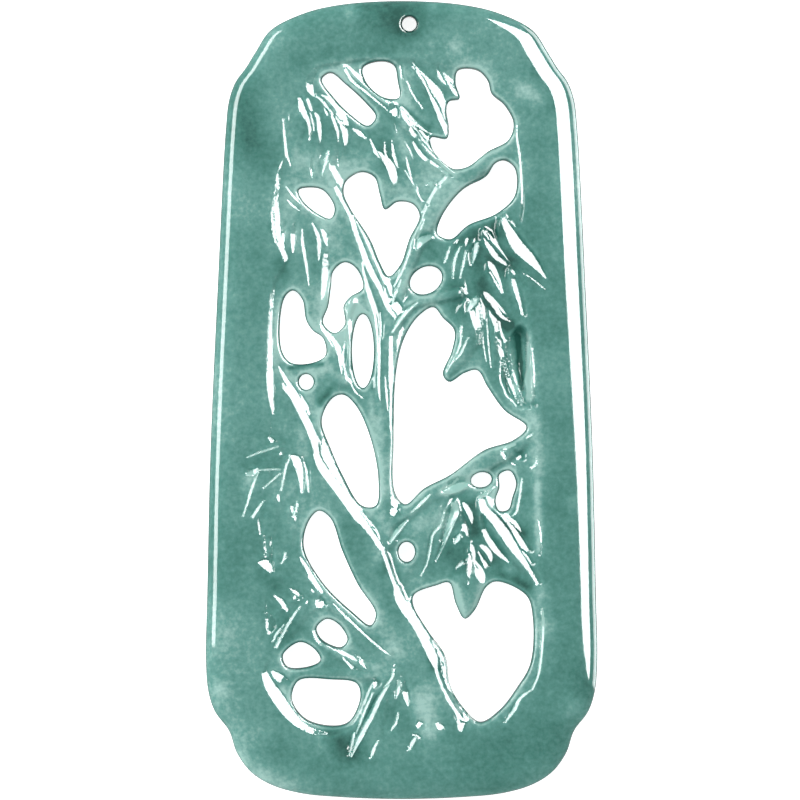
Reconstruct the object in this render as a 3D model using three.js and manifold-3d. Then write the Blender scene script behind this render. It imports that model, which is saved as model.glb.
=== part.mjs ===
// Jadeite pendant carved with bamboo: one solid plaque, lying on its flat back.
// Millimetres. X runs across the plaque, Y towards the cord hole, Z out of the carved face.
// The origin is in the middle of the back.
import * as THREE from 'three';
import { mergeVertices } from 'three/addons/utils/BufferGeometryUtils.js';
import Module from 'manifold-3d';

const wasm = await Module();
wasm.setup();

// Driving sizes of the plaque
const HEIGHT = 62;
const THICK = 4.2;
const EDGE_WIDTH = 1.8;
const EDGE_DROP = 1.35;
const BACK_EDGE = 0.55;

// The sunken field, and how much wider an opening is above the front than below the back
const FIELD_DEPTH = 1.15;
const FIELD_WALL = 0.6;
const RIM_FLARE = 0.45;

// The drilled hole for the cord
const HOLE_RADIUS = 0.57;
const HOLE_RIM = 0.17;
const HOLE_X = 0.6;
const HOLE_FROM_TOP = 1.8;

// Stems and trunk: how far their backs lie under the front, and how far their sides sink into the field
const STEM_UNDER = 0.4;
const STEM_SINK = 0.25;
const TRUNK_UNDER = 0.2;
const TRUNK_SINK = 0.1;

// Nodes of the trunk: share of its length on either side, added height and added share of its width
const NODE_REACH = 0.035;
const NODE_LIFT = 0.15;
const NODE_SWELL = 0.1;

// Leaf blades: how far ridge and sides lie under the front, and how much lower the tip is
const BLADE_UNDER = 0.15;
const BLADE_SIDE = 0.45;
const BORDER_BLADE_UNDER = 0.12;
const BORDER_BLADE_SIDE = 0.5;
const TIP_FALL = 0.3;

// A blade's half width is FULLNESS * u^BASE_POWER * (1 - u)^TIP_POWER of half its full width
const FULLNESS = 2.81;
const BASE_POWER = 0.6;
const TIP_POWER = 0.95;

// Places along a blade where it has a section, for long blades and for short ones
const LONG_BLADE = 4.5;
const LONG_SECTIONS = [0.05, 0.25, 0.5, 0.75, 0.96];
const SHORT_SECTIONS = [0.06, 0.35, 0.68, 0.95];

// Beds of the blades on the border: each is a little deeper than the one before
const BED_DEPTH = 0.66;
const BED_STEP = 0.011;
const BED_MARGIN = 0.22;
const BED_SPREAD = 2.4;

// Heights that follow, and how far the cutting shapes stand out in front and behind
const GROUND = THICK - FIELD_DEPTH;
const ROOT_Z = 1.2;
const OVERSHOOT = 0.6;
const ABOVE = THICK + OVERSHOOT;
const BELOW = -OVERSHOOT;

// Steps of the rings: between two points of an edge or of a field, over the rounded front edge,
// round an oval, the hollow and the cord hole, and over a stem's and the trunk's back
const EDGE_STEPS = 2;
const FIELD_STEPS = 1;
const ROUND_STEPS = 3;
const OVAL_STEPS = 12;
const HOLLOW_STEPS = 16;
const HOLE_STEPS = 16;
const STEM_ARC = 3;
const TRUNK_ARC = 6;
const TRUNK_SPANS = 3;

// Right half of the outline from the top middle to the bottom middle, with a small step at each corner
const HALF_OUTLINE = [
  [0, HEIGHT / 2], [4.8, 30.7], [7.7, 30.0], [10.2, 28.7], [11.3, 27.1], [12.1, 25.8],
  [12.9, 24.7], [13.4, 23.3], [13.65, 21.1], [14.3, 8.5], [14.85, -4.0], [15.1, -15.0], [15.2, -20.4],
  [15.0, -22.7], [14.5, -24.2], [13.4, -25.7], [12.8, -27.4], [11.7, -28.9], [10.1, -29.9],
  [7.8, -30.55], [4.7, -30.85], [0, -HEIGHT / 2],
];

// Border of the sunken field, right of the trunk and below it on the left
const FIELD = [
  [-6.9, 25.6], [-4.4, 26.3], [-0.1, 26.7], [3.8, 26.5], [6.4, 26.0], [8.0, 23.9], [9.0, 21.5],
  [9.4, 17.8], [10.0, 8.5], [10.4, 0.0], [10.8, -4.9], [10.9, -12.1], [11.1, -15.6], [11.0, -19.1],
  [10.5, -21.8], [9.2, -23.3], [8.2, -24.8], [6.1, -25.9], [4.4, -25.6], [1.9, -22.4], [-1.2, -15.4],
  [-4.5, -9.2], [-7.6, -3.9], [-9.2, -0.3], [-9.9, -1.0], [-10.4, 1.1], [-10.4, 5.4], [-10.0, 8.9],
  [-9.1, 10.9], [-9.8, 12.5], [-10.0, 14.9], [-9.5, 17.7], [-8.4, 20.2], [-5.9, 22.3], [-7.0, 23.9],
];
const LOW_FIELD = [
  [-10.7, -21.0], [-9.5, -23.8], [-7.7, -25.6], [-5.4, -26.1], [-3.7, -25.2], [-2.3, -22.5],
  [-1.0, -20.5], [-4.0, -17.3], [-6.2, -16.0], [-7.9, -17.3], [-9.7, -19.3],
];

// Pierced openings, each a closed smooth curve through a few points
const OPENINGS = [
  [
    [-6.2, 24.9], [-5.5, 25.4], [-4.3, 24.5], [-2.8, 23.1],
    [-2.0, 22.0], [-2.6, 21.3], [-3.9, 22.1], [-5.2, 23.4],
  ],
  [[-3.0, 25.8], [-1.7, 26.3], [-0.6, 26.0], [-0.3, 24.8], [-0.2, 23.5], [-1.4, 23.5], [-2.7, 24.6]],
  [
    [4.4, 25.6], [5.9, 25.6], [6.7, 24.8], [7.0, 23.8], [8.0, 22.9], [8.7, 21.5], [8.3, 20.2], [6.7, 19.3],
    [5.1, 18.1], [3.9, 18.0], [2.4, 19.5], [2.3, 20.4], [3.5, 20.3], [3.7, 21.1], [3.5, 22.5], [3.7, 23.2],
    [4.5, 23.4], [4.2, 24.6],
  ],
  [
    [8.0, 18.6], [8.8, 18.0], [8.8, 15.9], [7.4, 14.5], [5.2, 13.6], [3.8, 12.5], [2.8, 12.9], [3.1, 14.2],
    [4.7, 16.3], [6.6, 17.4], [7.3, 18.4],
  ],
  [
    [-4.3, 17.0], [-3.1, 17.7], [-2.1, 17.3], [-1.7, 16.0], [-1.3, 14.8], [-0.3, 15.4], [0.9, 15.2],
    [1.4, 14.3], [0.6, 12.5], [-0.1, 10.5], [-1.0, 9.6],
    [-1.7, 10.7], [-2.4, 12.4], [-4.0, 14.9], [-4.5, 16.1],
  ],
  [[-8.0, 16.3], [-7.4, 16.5], [-6.1, 16.3], [-5.2, 14.9], [-5.5, 14.1], [-6.4, 14.4], [-7.7, 15.5]],
  [
    [-9.0, 8.1], [-8.4, 8.5], [-7.7, 7.8], [-7.4, 6.2], [-6.9, 5.4], [-6.1, 4.8], [-5.9, 3.5], [-6.9, 2.9],
    [-8.6, 2.9], [-9.3, 3.8], [-9.4, 6.6],
  ],
  [
    [-5.3, 10.0], [-4.4, 10.7], [-3.5, 10.2], [-3.0, 8.7], [-4.0, 8.0], [-4.5, 7.3], [-4.4, 5.9],
    [-5.2, 5.2], [-6.1, 6.0], [-5.7, 7.3], [-5.5, 8.7],
  ],
  [
    [-4.5, 0.4], [-3.5, -0.5], [-2.4, -3.0], [-1.8, -6.2], [-2.0, -8.2], [-3.1, -8.2], [-4.6, -5.8],
    [-5.5, -3.8], [-6.2, -1.6], [-5.4, 0.1],
  ],
  [
    [2.5, 7.2], [3.2, 6.4], [4.1, 5.4], [3.9, 3.8], [3.2, 2.0], [3.7, 1.4], [4.9, 2.1], [5.9, 2.3],
    [6.7, 1.0], [8.0, -0.8], [9.7, -2.1], [8.7, -3.1], [6.4, -3.9], [3.8, -5.8], [1.7, -6.9], [0.3, -8.1],
    [-0.5, -7.2], [-0.6, -3.1], [-0.4, 2.3], [0.3, 5.0], [1.4, 6.6],
  ],
  [[7.6, -5.8], [8.4, -5.5], [8.9, -6.4], [8.6, -7.6], [8.3, -8.5], [7.6, -8.6], [7.3, -7.8], [7.6, -6.8]],
  [
    [-6.4, -8.6], [-5.5, -9.2], [-4.6, -11.7], [-3.4, -14.3], [-2.0, -16.6], [-2.4, -17.5], [-3.8, -16.5],
    [-6.2, -14.1], [-7.6, -11.4], [-7.2, -9.4],
  ],
  [[-5.8, -17.0], [-4.9, -17.4], [-4.2, -18.6], [-4.7, -19.2], [-6.2, -18.6], [-6.6, -17.7]],
  [[-7.9, -18.8], [-6.8, -19.3], [-6.3, -20.2], [-7.2, -20.7], [-8.9, -20.7], [-9.2, -19.8]],
  [
    [-8.0, -21.8], [-5.5, -21.7], [-3.5, -22.0], [-3.2, -23.0], [-4.0, -24.9], [-5.1, -25.3],
    [-7.4, -24.8], [-8.5, -23.3],
  ],
  [
    [1.0, -15.1], [2.7, -14.4], [3.7, -14.2], [4.2, -15.8], [4.9, -17.0], [5.7, -16.3], [6.6, -14.5],
    [7.4, -14.1], [9.7, -15.2], [10.2, -17.0], [10.0, -20.5], [9.0, -22.3], [7.6, -24.1], [6.1, -25.0],
    [4.8, -23.9], [3.8, -22.2], [3.4, -19.9], [2.1, -18.0], [0.9, -15.9],
  ],
];

// Round and oval openings: centre x, centre y, half length, half width, turn in degrees
const OVALS = [
  [1.9, 9.3, 1.32, 1.01, 30],
  [-3.0, 3.8, 0.85, 2.87, 0],
  [-7.4, 1.4, 0.58, 0.61, 0],
  [6.2, -6.2, 0.81, 0.58, 10],
  [0.4, -11.8, 0.64, 0.78, 0],
];

// Stems: stations of x, y and full width, from root to tip
const TRUNK = [
  [-9.4, 0.9, 0.9], [-8.5, -1.6, 2.3], [-7.6, -3.9, 2.7], [-6.3, -6.4, 2.6], [-4.5, -9.2, 2.6],
  [-2.8, -11.8, 3.0], [-1.2, -15.4, 2.6], [0.6, -18.7, 2.9], [1.9, -22.4, 3.1], [3.0, -25.5, 3.8],
];
const STEMS = {
  centre: [[-1.2, -10.9, 1.8], [-1.2, -6.2, 1.7], [-1.1, -1.6, 1.9], [-0.9, 3.1, 1.8], [-0.7, 6.0, 1.8]],
  left_arm: [
    [-0.7, 5.8, 1.5], [-1.6, 8.7, 1.5], [-2.7, 11.2, 1.6],
    [-3.9, 13.9, 1.6], [-5.1, 16.6, 1.4], [-6.0, 18.6, 0.9],
  ],
  right_arm: [
    [-0.7, 5.8, 1.1], [0.0, 8.5, 0.9], [0.8, 11.2, 1.2], [2.2, 14.2, 1.5], [3.6, 16.3, 1.9],
    [5.9, 18.1, 1.6], [9.0, 19.7, 1.1],
  ],
  side_arm: [[-0.7, 5.2, 0.9], [0.5, 7.3, 1.0], [2.2, 7.8, 0.9], [4.4, 8.3, 0.9]],
  low_arm: [
    [-0.9, -10.0, 1.4], [0.8, -8.4, 1.5], [3.4, -6.7, 1.6],
    [6.1, -5.0, 1.7], [8.6, -3.7, 1.4], [10.2, -2.7, 0.9],
  ],
  left_bridge: [[-6.8, -2.4, 0.9], [-6.0, -0.3, 1.7], [-5.1, 1.8, 1.6], [-5.2, 3.8, 1.1], [-6.4, 5.4, 0.8]],
  inner_arm: [
    [-1.6, -1.2, 0.6], [-1.9, 0.8, 0.6], [-1.9, 3.8, 0.5],
    [-2.2, 6.6, 0.7], [-2.8, 8.5, 0.6], [-3.2, 10.7, 0.5],
  ],
  inner_left: [[-4.4, 1.4, 0.8], [-4.0, 3.8, 0.5], [-4.2, 6.2, 0.5], [-3.8, 7.6, 0.7]],
  top_arm: [
    [-4.6, 25.9, 0.6], [-2.6, 24.0, 0.8], [-0.7, 22.6, 0.9],
    [0.8, 20.9, 0.9], [2.7, 18.7, 0.8], [4.2, 17.2, 0.9],
  ],
  lower_arm: [
    [-8.2, -12.6, 1.0], [-6.6, -14.8, 1.4], [-4.8, -16.4, 1.5],
    [-2.8, -18.4, 1.7], [-0.9, -20.4, 1.8],
  ],
  low_bridge: [
    [-9.4, -21.4, 1.1], [-7.2, -21.2, 1.0], [-5.0, -21.1, 1.0],
    [-3.0, -21.3, 1.2], [-1.4, -21.0, 1.4],
  ],
  cross_arm: [[-6.4, -18.8, 0.5], [-5.2, -19.6, 0.8], [-3.4, -20.5, 0.9], [-1.5, -20.8, 0.9]],
};
const TRUNK_NODES = [0.24, 0.52, 0.76];

// Leaf blades: base x, base y, tip x, tip y, full width, sideways bow of the midrib
const SPRAYS = {
  crown: [[-0.1, 26.3, 3.5, 20.3, 2.1, 0.3], [1.2, 26.5, 4.5, 23.4, 1.2, 0.2]],
  upper_mid: [
    [-3.4, 21.1, -1.6, 18.4, 0.9, 0.2], [-1.7, 21.3, -0.7, 18.0, 0.9, -0.2],
    [-0.7, 21.8, -0.1, 16.9, 0.9, -0.1],
    [-0.3, 20.5, 1.1, 16.6, 1.0, 0.2], [0.8, 20.3, 4.2, 17.2, 0.9, -0.3],
    [-2.4, 19.4, -1.2, 14.6, 1.9, 0.5],
    [0.0, 18.0, 2.2, 14.9, 1.0, -0.3],
  ],
  left: [
    [-8.1, 14.4, -8.2, 11.1, 1.0, -0.1], [-7.6, 14.1, -7.0, 8.8, 1.2, -0.3],
    [-6.9, 14.2, -6.2, 10.7, 0.9, 0.4],
    [-7.1, 13.0, -6.6, 5.5, 1.9, 0.2],
  ],
  right_fan: [
    [5.0, 12.5, 3.9, 9.1, 0.9, -0.2], [5.6, 12.5, 4.7, 8.8, 0.9, -0.2], [6.2, 13.3, 8.7, 10.2, 1.2, -0.3],
    [6.6, 10.7, 7.9, 8.1, 0.9, -0.2], [8.3, 10.2, 9.5, 6.4, 1.1, 0.2],
  ],
  right_drop: [
    [5.0, 7.7, 3.2, 1.4, 2.1, 0.6], [5.9, 7.9, 6.0, 4.0, 0.9, 0.0], [6.6, 7.1, 7.1, 2.3, 0.9, 0.2],
  ],
  lower_right: [
    [3.6, -7.2, 1.7, -14.0, 2.0, -0.8], [4.2, -7.8, 2.5, -12.7, 1.1, -0.2],
    [5.2, -12.5, 4.9, -17.0, 2.1, 0.0],
    [6.1, -7.3, 8.6, -12.8, 1.3, -0.3], [6.9, -8.3, 10.7, -14.3, 1.5, -0.2],
    [8.0, -9.2, 10.0, -12.0, 0.8, 0.2],
    [3.0, -8.1, -0.4, -14.9, 2.6, -0.5],
  ],
};

// Blades that lie over the plain border, each in a shallow bed of its own
const BORDER_SPRAYS = {
  upper_left: [
    [-7.4, 23.4, -8.6, 17.8, 1.7, -0.3], [-7.9, 23.6, -7.0, 20.0, 0.9, 0.3],
    [-6.8, 22.3, -6.8, 17.0, 1.5, -0.1],
    [-5.9, 22.3, -6.2, 17.0, 1.3, 0.6],
  ],
  right_edge: [[7.6, 14.1, 11.3, 9.3, 1.7, -0.2]],
  lower_left: [
    [-8.8, -3.5, -11.9, -4.7, 1.0, -0.3], [-9.4, -4.1, -12.4, -9.1, 1.6, -0.6],
    [-8.5, -4.1, -9.3, -7.2, 0.9, -0.3],
    [-7.6, -6.1, -8.3, -9.4, 1.0, 0.3], [-9.7, -7.3, -10.5, -12.9, 1.3, -0.2],
    [-8.7, -8.2, -9.2, -12.9, 1.2, 0.2],
  ],
  low_left: [
    [-6.9, -13.9, -11.0, -13.2, 0.9, 0.2], [-6.8, -15.1, -9.5, -13.9, 0.9, -0.2],
    [-7.4, -15.6, -10.0, -19.4, 1.1, 0.2],
  ],
  root: [
    [-0.6, -20.5, -4.2, -27.8, 1.2, 0.0], [-0.1, -20.8, -1.4, -26.0, 1.2, -0.2],
    [-1.2, -23.2, -2.6, -28.1, 1.3, -0.2],
  ],
};

// A deep blind hollow in the right border. Its rings are an inset, as a share of the half width,
// and a height over its floor.
const HOLLOW = { x: 8.9, y: 2.9, halfWidth: 0.95, halfLength: 3.1, turn: -6, depth: 1.7 };
const HOLLOW_FLOOR_INSET = 0.55;
const HOLLOW_SIDE_INSET = 0.15;
const HOLLOW_SIDE_Z = 0.5;
const HOLLOW_LIP = 0.1;
const HOLLOW_FLARE = 0.3;

// Joins matching rings of points with side faces and closes both ends with a fan
function loft(rings) {
  const count = rings[0].length;
  const positions = [];
  const faces = [];
  rings.forEach((ring) => ring.forEach((p) => positions.push(p.x, p.y, p.z)));
  for (let level = 0; level + 1 < rings.length; level++) {
    for (let i = 0; i < count; i++) {
      const next = (i + 1) % count;
      const [a, b] = [level * count + i, level * count + next];
      const [c, d] = [a + count, b + count];
      faces.push(a, b, d, a, d, c);
    }
  }
  const addCap = (level, flip) => {
    const middle = new THREE.Vector3();
    rings[level].forEach((p) => middle.add(p));
    middle.divideScalar(count);
    const hub = positions.length / 3;
    positions.push(middle.x, middle.y, middle.z);
    for (let i = 0; i < count; i++) {
      const a = level * count + i;
      const b = level * count + ((i + 1) % count);
      faces.push(...(flip ? [hub, b, a] : [hub, a, b]));
    }
  };
  addCap(0, true);
  addCap(rings.length - 1, false);
  const geometry = new THREE.BufferGeometry();
  geometry.setAttribute('position', new THREE.Float32BufferAttribute(positions, 3));
  geometry.setIndex(faces);
  return geometry;
}

// Points closer than this are one point
const MERGE_DISTANCE = 1e-4;

// Turns a closed three.js geometry into a solid for joining and cutting
function solid(geometry) {
  geometry.deleteAttribute('normal');
  geometry.deleteAttribute('uv');
  const merged = mergeVertices(geometry, MERGE_DISTANCE);
  const mesh = new wasm.Mesh({
    numProp: 3,
    vertProperties: new Float32Array(merged.attributes.position.array),
    triVerts: new Uint32Array(merged.index.array),
  });
  return new wasm.Manifold(mesh);
}

// A smooth closed curve through the given points
function closedCurve(points) {
  const knots = points.map(([x, y]) => new THREE.Vector3(x, y, 0));
  return new THREE.CatmullRomCurve3(knots, true, 'centripetal');
}

// Turns samples of a closed curve into a ring, anticlockwise seen from the front
function ringOf(samples) {
  const ring = samples.slice(0, -1);
  return THREE.ShapeUtils.area(ring) < 0 ? ring.reverse() : ring;
}

// Samples a closed curve with the same number of steps between each two points
function splineRing(points, stepsPerPoint) {
  return ringOf(closedCurve(points).getPoints(points.length * stepsPerPoint));
}

// Moves a ring outwards by a distance, at a new height. Each normal is the mean of those
// up to blur points away.
function offsetRing(ring, distance, z, blur = 2) {
  const count = ring.length;
  const normals = ring.map((_, i) => {
    const before = ring[(i + count - 1) % count];
    const after = ring[(i + 1) % count];
    return new THREE.Vector3(after.y - before.y, before.x - after.x, 0).normalize();
  });
  return ring.map((p, i) => {
    const sum = new THREE.Vector3();
    for (let k = -blur; k <= blur; k++) sum.add(normals[(i + k + count) % count]);
    sum.normalize();
    return new THREE.Vector3(p.x + sum.x * distance, p.y + sum.y * distance, z);
  });
}

// The full outline, from its right half
function outlineRing() {
  const left = HALF_OUTLINE.slice(1, -1).reverse().map(([x, y]) => [-x, y]);
  return splineRing([...HALF_OUTLINE, ...left], EDGE_STEPS);
}

// The plaque with a broad rounded front edge and a small round at the back
function plate() {
  const outline = outlineRing();
  const rings = [offsetRing(outline, -BACK_EDGE, 0), offsetRing(outline, 0, BACK_EDGE)];
  for (let i = 0; i <= ROUND_STEPS; i++) {
    const angle = (i / ROUND_STEPS) * Math.PI / 2;
    const inset = EDGE_WIDTH * (1 - Math.cos(angle));
    rings.push(offsetRing(outline, -inset, THICK - EDGE_DROP * (1 - Math.sin(angle))));
  }
  return solid(loft(rings));
}

// A sunken field with sloping walls
function fieldCutter(points) {
  const border = splineRing(points, FIELD_STEPS);
  const top = FIELD_WALL * (ABOVE - GROUND) / FIELD_DEPTH;
  return solid(loft([offsetRing(border, -FIELD_WALL, GROUND), offsetRing(border, top - FIELD_WALL, ABOVE)]));
}

// An opening right through, a little wider at the front
function openingCutter(ring) {
  return solid(loft([offsetRing(ring, 0, BELOW, 1), offsetRing(ring, RIM_FLARE, ABOVE, 1)]));
}

// An oval ring about a centre
function ovalRing(x, y, halfLength, halfWidth, turnDegrees, count = OVAL_STEPS) {
  const turn = THREE.MathUtils.degToRad(turnDegrees);
  return new THREE.EllipseCurve(x, y, halfLength, halfWidth, 0, Math.PI * 2, false, turn)
    .getPoints(count)
    .slice(0, count)
    .map((p) => new THREE.Vector3(p.x, p.y, 0));
}

// Stations along a stem: place, half width and the direction to its left
function stemStations(points, stepsPerSpan) {
  const knots = points.map(([x, y]) => new THREE.Vector3(x, y, 0));
  const curve = new THREE.CatmullRomCurve3(knots, false, 'centripetal');
  const count = (points.length - 1) * stepsPerSpan;
  return Array.from({ length: count + 1 }, (_, i) => {
    const t = i / count;
    const span = Math.min(Math.floor(t * (points.length - 1)), points.length - 2);
    const part = t * (points.length - 1) - span;
    const width = THREE.MathUtils.lerp(points[span][2], points[span + 1][2], part);
    const along = curve.getTangent(t);
    return { t, at: curve.getPoint(t), half: width / 2, left: new THREE.Vector3(-along.y, along.x, 0) };
  });
}

// One cross-section: a rounded top over straight sides that reach down into the plaque
function stemSection(station, crest, side, arcSteps) {
  const ring = [];
  const place = (across, z) => {
    const p = station.at.clone().addScaledVector(station.left, across * station.half);
    ring.push(new THREE.Vector3(p.x, p.y, z));
  };
  place(1, ROOT_Z);
  place(-1, ROOT_Z);
  for (let i = 0; i <= arcSteps; i++) {
    const angle = Math.PI * i / arcSteps;
    place(-Math.cos(angle), side + (crest - side) * Math.sin(angle));
  }
  return ring;
}

// A stem with a rounded back
function stem(points, crest) {
  const side = GROUND - STEM_SINK;
  const rings = stemStations(points, 1).map((station) => stemSection(station, crest, side, STEM_ARC));
  return solid(loft(rings.reverse()));
}

// The bamboo trunk, with a raised ring at each node
function trunk() {
  const stations = stemStations(TRUNK, TRUNK_SPANS);
  const rings = stations.map((station) => {
    const near = Math.min(...TRUNK_NODES.map((node) => Math.abs(station.t - node)));
    const swell = Math.max(0, 1 - near / NODE_REACH);
    const wider = { ...station, half: station.half * (1 + NODE_SWELL * swell) };
    return stemSection(wider, THICK - TRUNK_UNDER + NODE_LIFT * swell, GROUND - TRUNK_SINK, TRUNK_ARC);
  });
  return solid(loft(rings.reverse()));
}

// Places along a blade: a bowed midrib, and a half width that is fullest near the base
function bladeStations([baseX, baseY, tipX, tipY, width, bow]) {
  const base = new THREE.Vector3(baseX, baseY, 0);
  const tip = new THREE.Vector3(tipX, tipY, 0);
  const along = tip.clone().sub(base).normalize();
  const side = new THREE.Vector3(-along.y, along.x, 0);
  const bend = base.clone().add(tip).multiplyScalar(0.5).addScaledVector(side, bow * 2);
  const midrib = new THREE.QuadraticBezierCurve3(base, bend, tip);
  const sections = base.distanceTo(tip) > LONG_BLADE ? LONG_SECTIONS : SHORT_SECTIONS;
  return sections.map((u) => {
    const tangent = midrib.getTangent(u);
    const fullness = FULLNESS * Math.pow(u, BASE_POWER) * Math.pow(1 - u, TIP_POWER);
    const left = new THREE.Vector3(-tangent.y, tangent.x, 0);
    return { u, at: midrib.getPoint(u), half: fullness * width / 2, left };
  });
}

// A leaf blade: two slopes that meet in a ridge, over sides that reach down into the plaque
function blade(leaf, crest, edge) {
  const rings = bladeStations(leaf).map(({ u, at, half, left }) => {
    const lower = TIP_FALL * u * u;
    const point = (across, z) => {
      const p = at.clone().addScaledVector(left, across * half);
      return new THREE.Vector3(p.x, p.y, z);
    };
    const back = [point(-1, edge - lower), point(0, crest - lower), point(1, edge - lower)];
    return [point(1, ROOT_Z), point(-1, ROOT_Z), ...back];
  });
  return solid(loft(rings.reverse()));
}

// The bed around a blade on the border: a little wider than the blade, with sloping walls
function bladeBed(leaf, depth) {
  const rings = bladeStations(leaf).map(({ at, half, left }) => {
    const point = (across, z) => {
      const p = at.clone().addScaledVector(left, across);
      return new THREE.Vector3(p.x, p.y, z);
    };
    const low = half + BED_MARGIN;
    const high = half + BED_MARGIN * BED_SPREAD;
    return [point(low, THICK - depth), point(-low, THICK - depth), point(-high, ABOVE), point(high, ABOVE)];
  });
  return solid(loft(rings.reverse()));
}

// The drilled hole for the cord, with its edges eased
function holeCutter() {
  const wide = HOLE_RADIUS + HOLE_RIM * 2;
  const over = THICK + HOLE_RIM * 2;
  const profile = [
    [0, BELOW], [wide, BELOW], [HOLE_RADIUS, HOLE_RIM * 1.5],
    [HOLE_RADIUS, THICK - HOLE_RIM * 2], [wide, over], [0, over],
  ].map(([r, z]) => new THREE.Vector2(r, z));
  const geometry = new THREE.LatheGeometry(profile, HOLE_STEPS);
  geometry.rotateX(Math.PI / 2);
  geometry.translate(HOLE_X, HEIGHT / 2 - HOLE_FROM_TOP, 0);
  return solid(geometry);
}

// The blind hollow: a rounded trough with its long way up the border
function hollowCutter() {
  const { x, y, halfWidth, halfLength, turn, depth } = HOLLOW;
  const ring = ovalRing(x, y, halfWidth, halfLength, turn, HOLLOW_STEPS);
  const floor = THICK - depth;
  return solid(loft([
    offsetRing(ring, -halfWidth * HOLLOW_FLOOR_INSET, floor),
    offsetRing(ring, -halfWidth * HOLLOW_SIDE_INSET, floor + HOLLOW_SIDE_Z),
    offsetRing(ring, HOLLOW_LIP, THICK),
    offsetRing(ring, HOLLOW_FLARE, ABOVE),
  ]));
}

// Sinks the field, raises stems and leaves in it, then pierces the openings
function carvedPlaque() {
  let plaque = plate();
  plaque = plaque.subtract(fieldCutter(FIELD)).subtract(fieldCutter(LOW_FIELD));
  const borderLeaves = Object.values(BORDER_SPRAYS).flat();
  borderLeaves.forEach((leaf, i) => {
    plaque = plaque.subtract(bladeBed(leaf, BED_DEPTH + i * BED_STEP));
  });
  borderLeaves.forEach((leaf) => {
    plaque = plaque.add(blade(leaf, THICK - BORDER_BLADE_UNDER, THICK - BORDER_BLADE_SIDE));
  });
  Object.values(STEMS).forEach((points) => {
    plaque = plaque.add(stem(points, THICK - STEM_UNDER));
  });
  plaque = plaque.add(trunk());
  Object.values(SPRAYS).flat().forEach((leaf) => {
    plaque = plaque.add(blade(leaf, THICK - BLADE_UNDER, GROUND + BLADE_SIDE));
  });
  plaque = plaque.subtract(hollowCutter());
  OPENINGS.forEach((points) => {
    plaque = plaque.subtract(openingCutter(splineRing(points, EDGE_STEPS)));
  });
  OVALS.forEach((oval) => {
    plaque = plaque.subtract(openingCutter(ovalRing(...oval)));
  });
  return largestOf(plaque.subtract(holeCutter()));
}

// Drops any crumb that the cuts leave loose
function largestOf(manifold) {
  return manifold.decompose().reduce((best, piece) => (piece.volume() > best.volume() ? piece : best));
}

// Turns the finished solid back into a three.js geometry
function geometryOf(manifold) {
  const { vertProperties, triVerts } = manifold.getMesh();
  const geometry = new THREE.BufferGeometry();
  geometry.setAttribute('position', new THREE.BufferAttribute(new Float32Array(vertProperties), 3));
  geometry.setIndex(new THREE.BufferAttribute(new Uint32Array(triVerts), 1));
  geometry.computeVertexNormals();
  return geometry;
}

const jade = new THREE.MeshStandardMaterial({ color: 0x5fa093, roughness: 0.12, metalness: 0 });

const plaque = new THREE.Mesh(geometryOf(carvedPlaque()), jade);
plaque.name = 'bamboo_plaque';

const pendant = new THREE.Group();
pendant.add(plaque);

export default pendant;
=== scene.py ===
"""Jadeite pendant carved with bamboo, lying on its flat back and seen from straight above.

The carving is worked out in millimetres, in the part's own frame: X across the plaque, Y towards the
cord hole, Z out of the carved face. It becomes metres where the mesh is made.
"""
import math
from collections import namedtuple

import bpy
import numpy as np
from mathutils import Matrix, Vector
from mathutils.geometry import delaunay_2d_cdt


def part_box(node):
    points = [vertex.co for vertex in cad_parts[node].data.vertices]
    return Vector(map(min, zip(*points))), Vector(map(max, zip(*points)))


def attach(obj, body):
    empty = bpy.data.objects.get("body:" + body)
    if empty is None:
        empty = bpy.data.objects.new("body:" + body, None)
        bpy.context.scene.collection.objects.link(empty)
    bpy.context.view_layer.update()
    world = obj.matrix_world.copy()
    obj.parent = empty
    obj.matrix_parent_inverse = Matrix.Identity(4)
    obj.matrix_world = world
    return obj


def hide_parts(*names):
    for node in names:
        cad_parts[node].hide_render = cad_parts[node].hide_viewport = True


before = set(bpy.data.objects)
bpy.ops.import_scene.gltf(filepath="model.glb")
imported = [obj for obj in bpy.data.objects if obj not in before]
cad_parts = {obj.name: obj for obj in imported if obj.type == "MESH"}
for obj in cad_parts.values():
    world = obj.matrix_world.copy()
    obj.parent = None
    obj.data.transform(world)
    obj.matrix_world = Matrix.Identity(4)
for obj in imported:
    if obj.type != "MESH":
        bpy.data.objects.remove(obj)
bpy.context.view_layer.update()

MM = 0.001

# Driving sizes of the plaque, in millimetres
low_corner, high_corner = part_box("bamboo_plaque")
HEIGHT = (high_corner.y - low_corner.y) / MM
THICK = high_corner.z / MM
EDGE_WIDTH = 1.8
EDGE_DROP = 1.35
BACK_EDGE = 0.5
HOLE_RADIUS = 0.57
HOLE_X = 0.6
HOLE_FROM_TOP = 1.8

# The sunken field: its depth and the width of its wall at the left and at the right, and between
# which x the one turns into the other
SHALLOW = 0.12
FIELD_DEPTH = 0.65
LEFT_WALL = 0.15
RIGHT_WALL = 2.0
DEPTH_CHANGE = [-10.0, 7.0]
WALL_CHANGE = [-3.0, 4.0]
GROUND = THICK - FIELD_DEPTH

# The soft bed around each blade on the border, which fades out towards the right-hand edge
BED_DEPTH = 0.12
BED_REACH = 1.1
BED_END = 11.6
BED_FADE = 1.2

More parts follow.
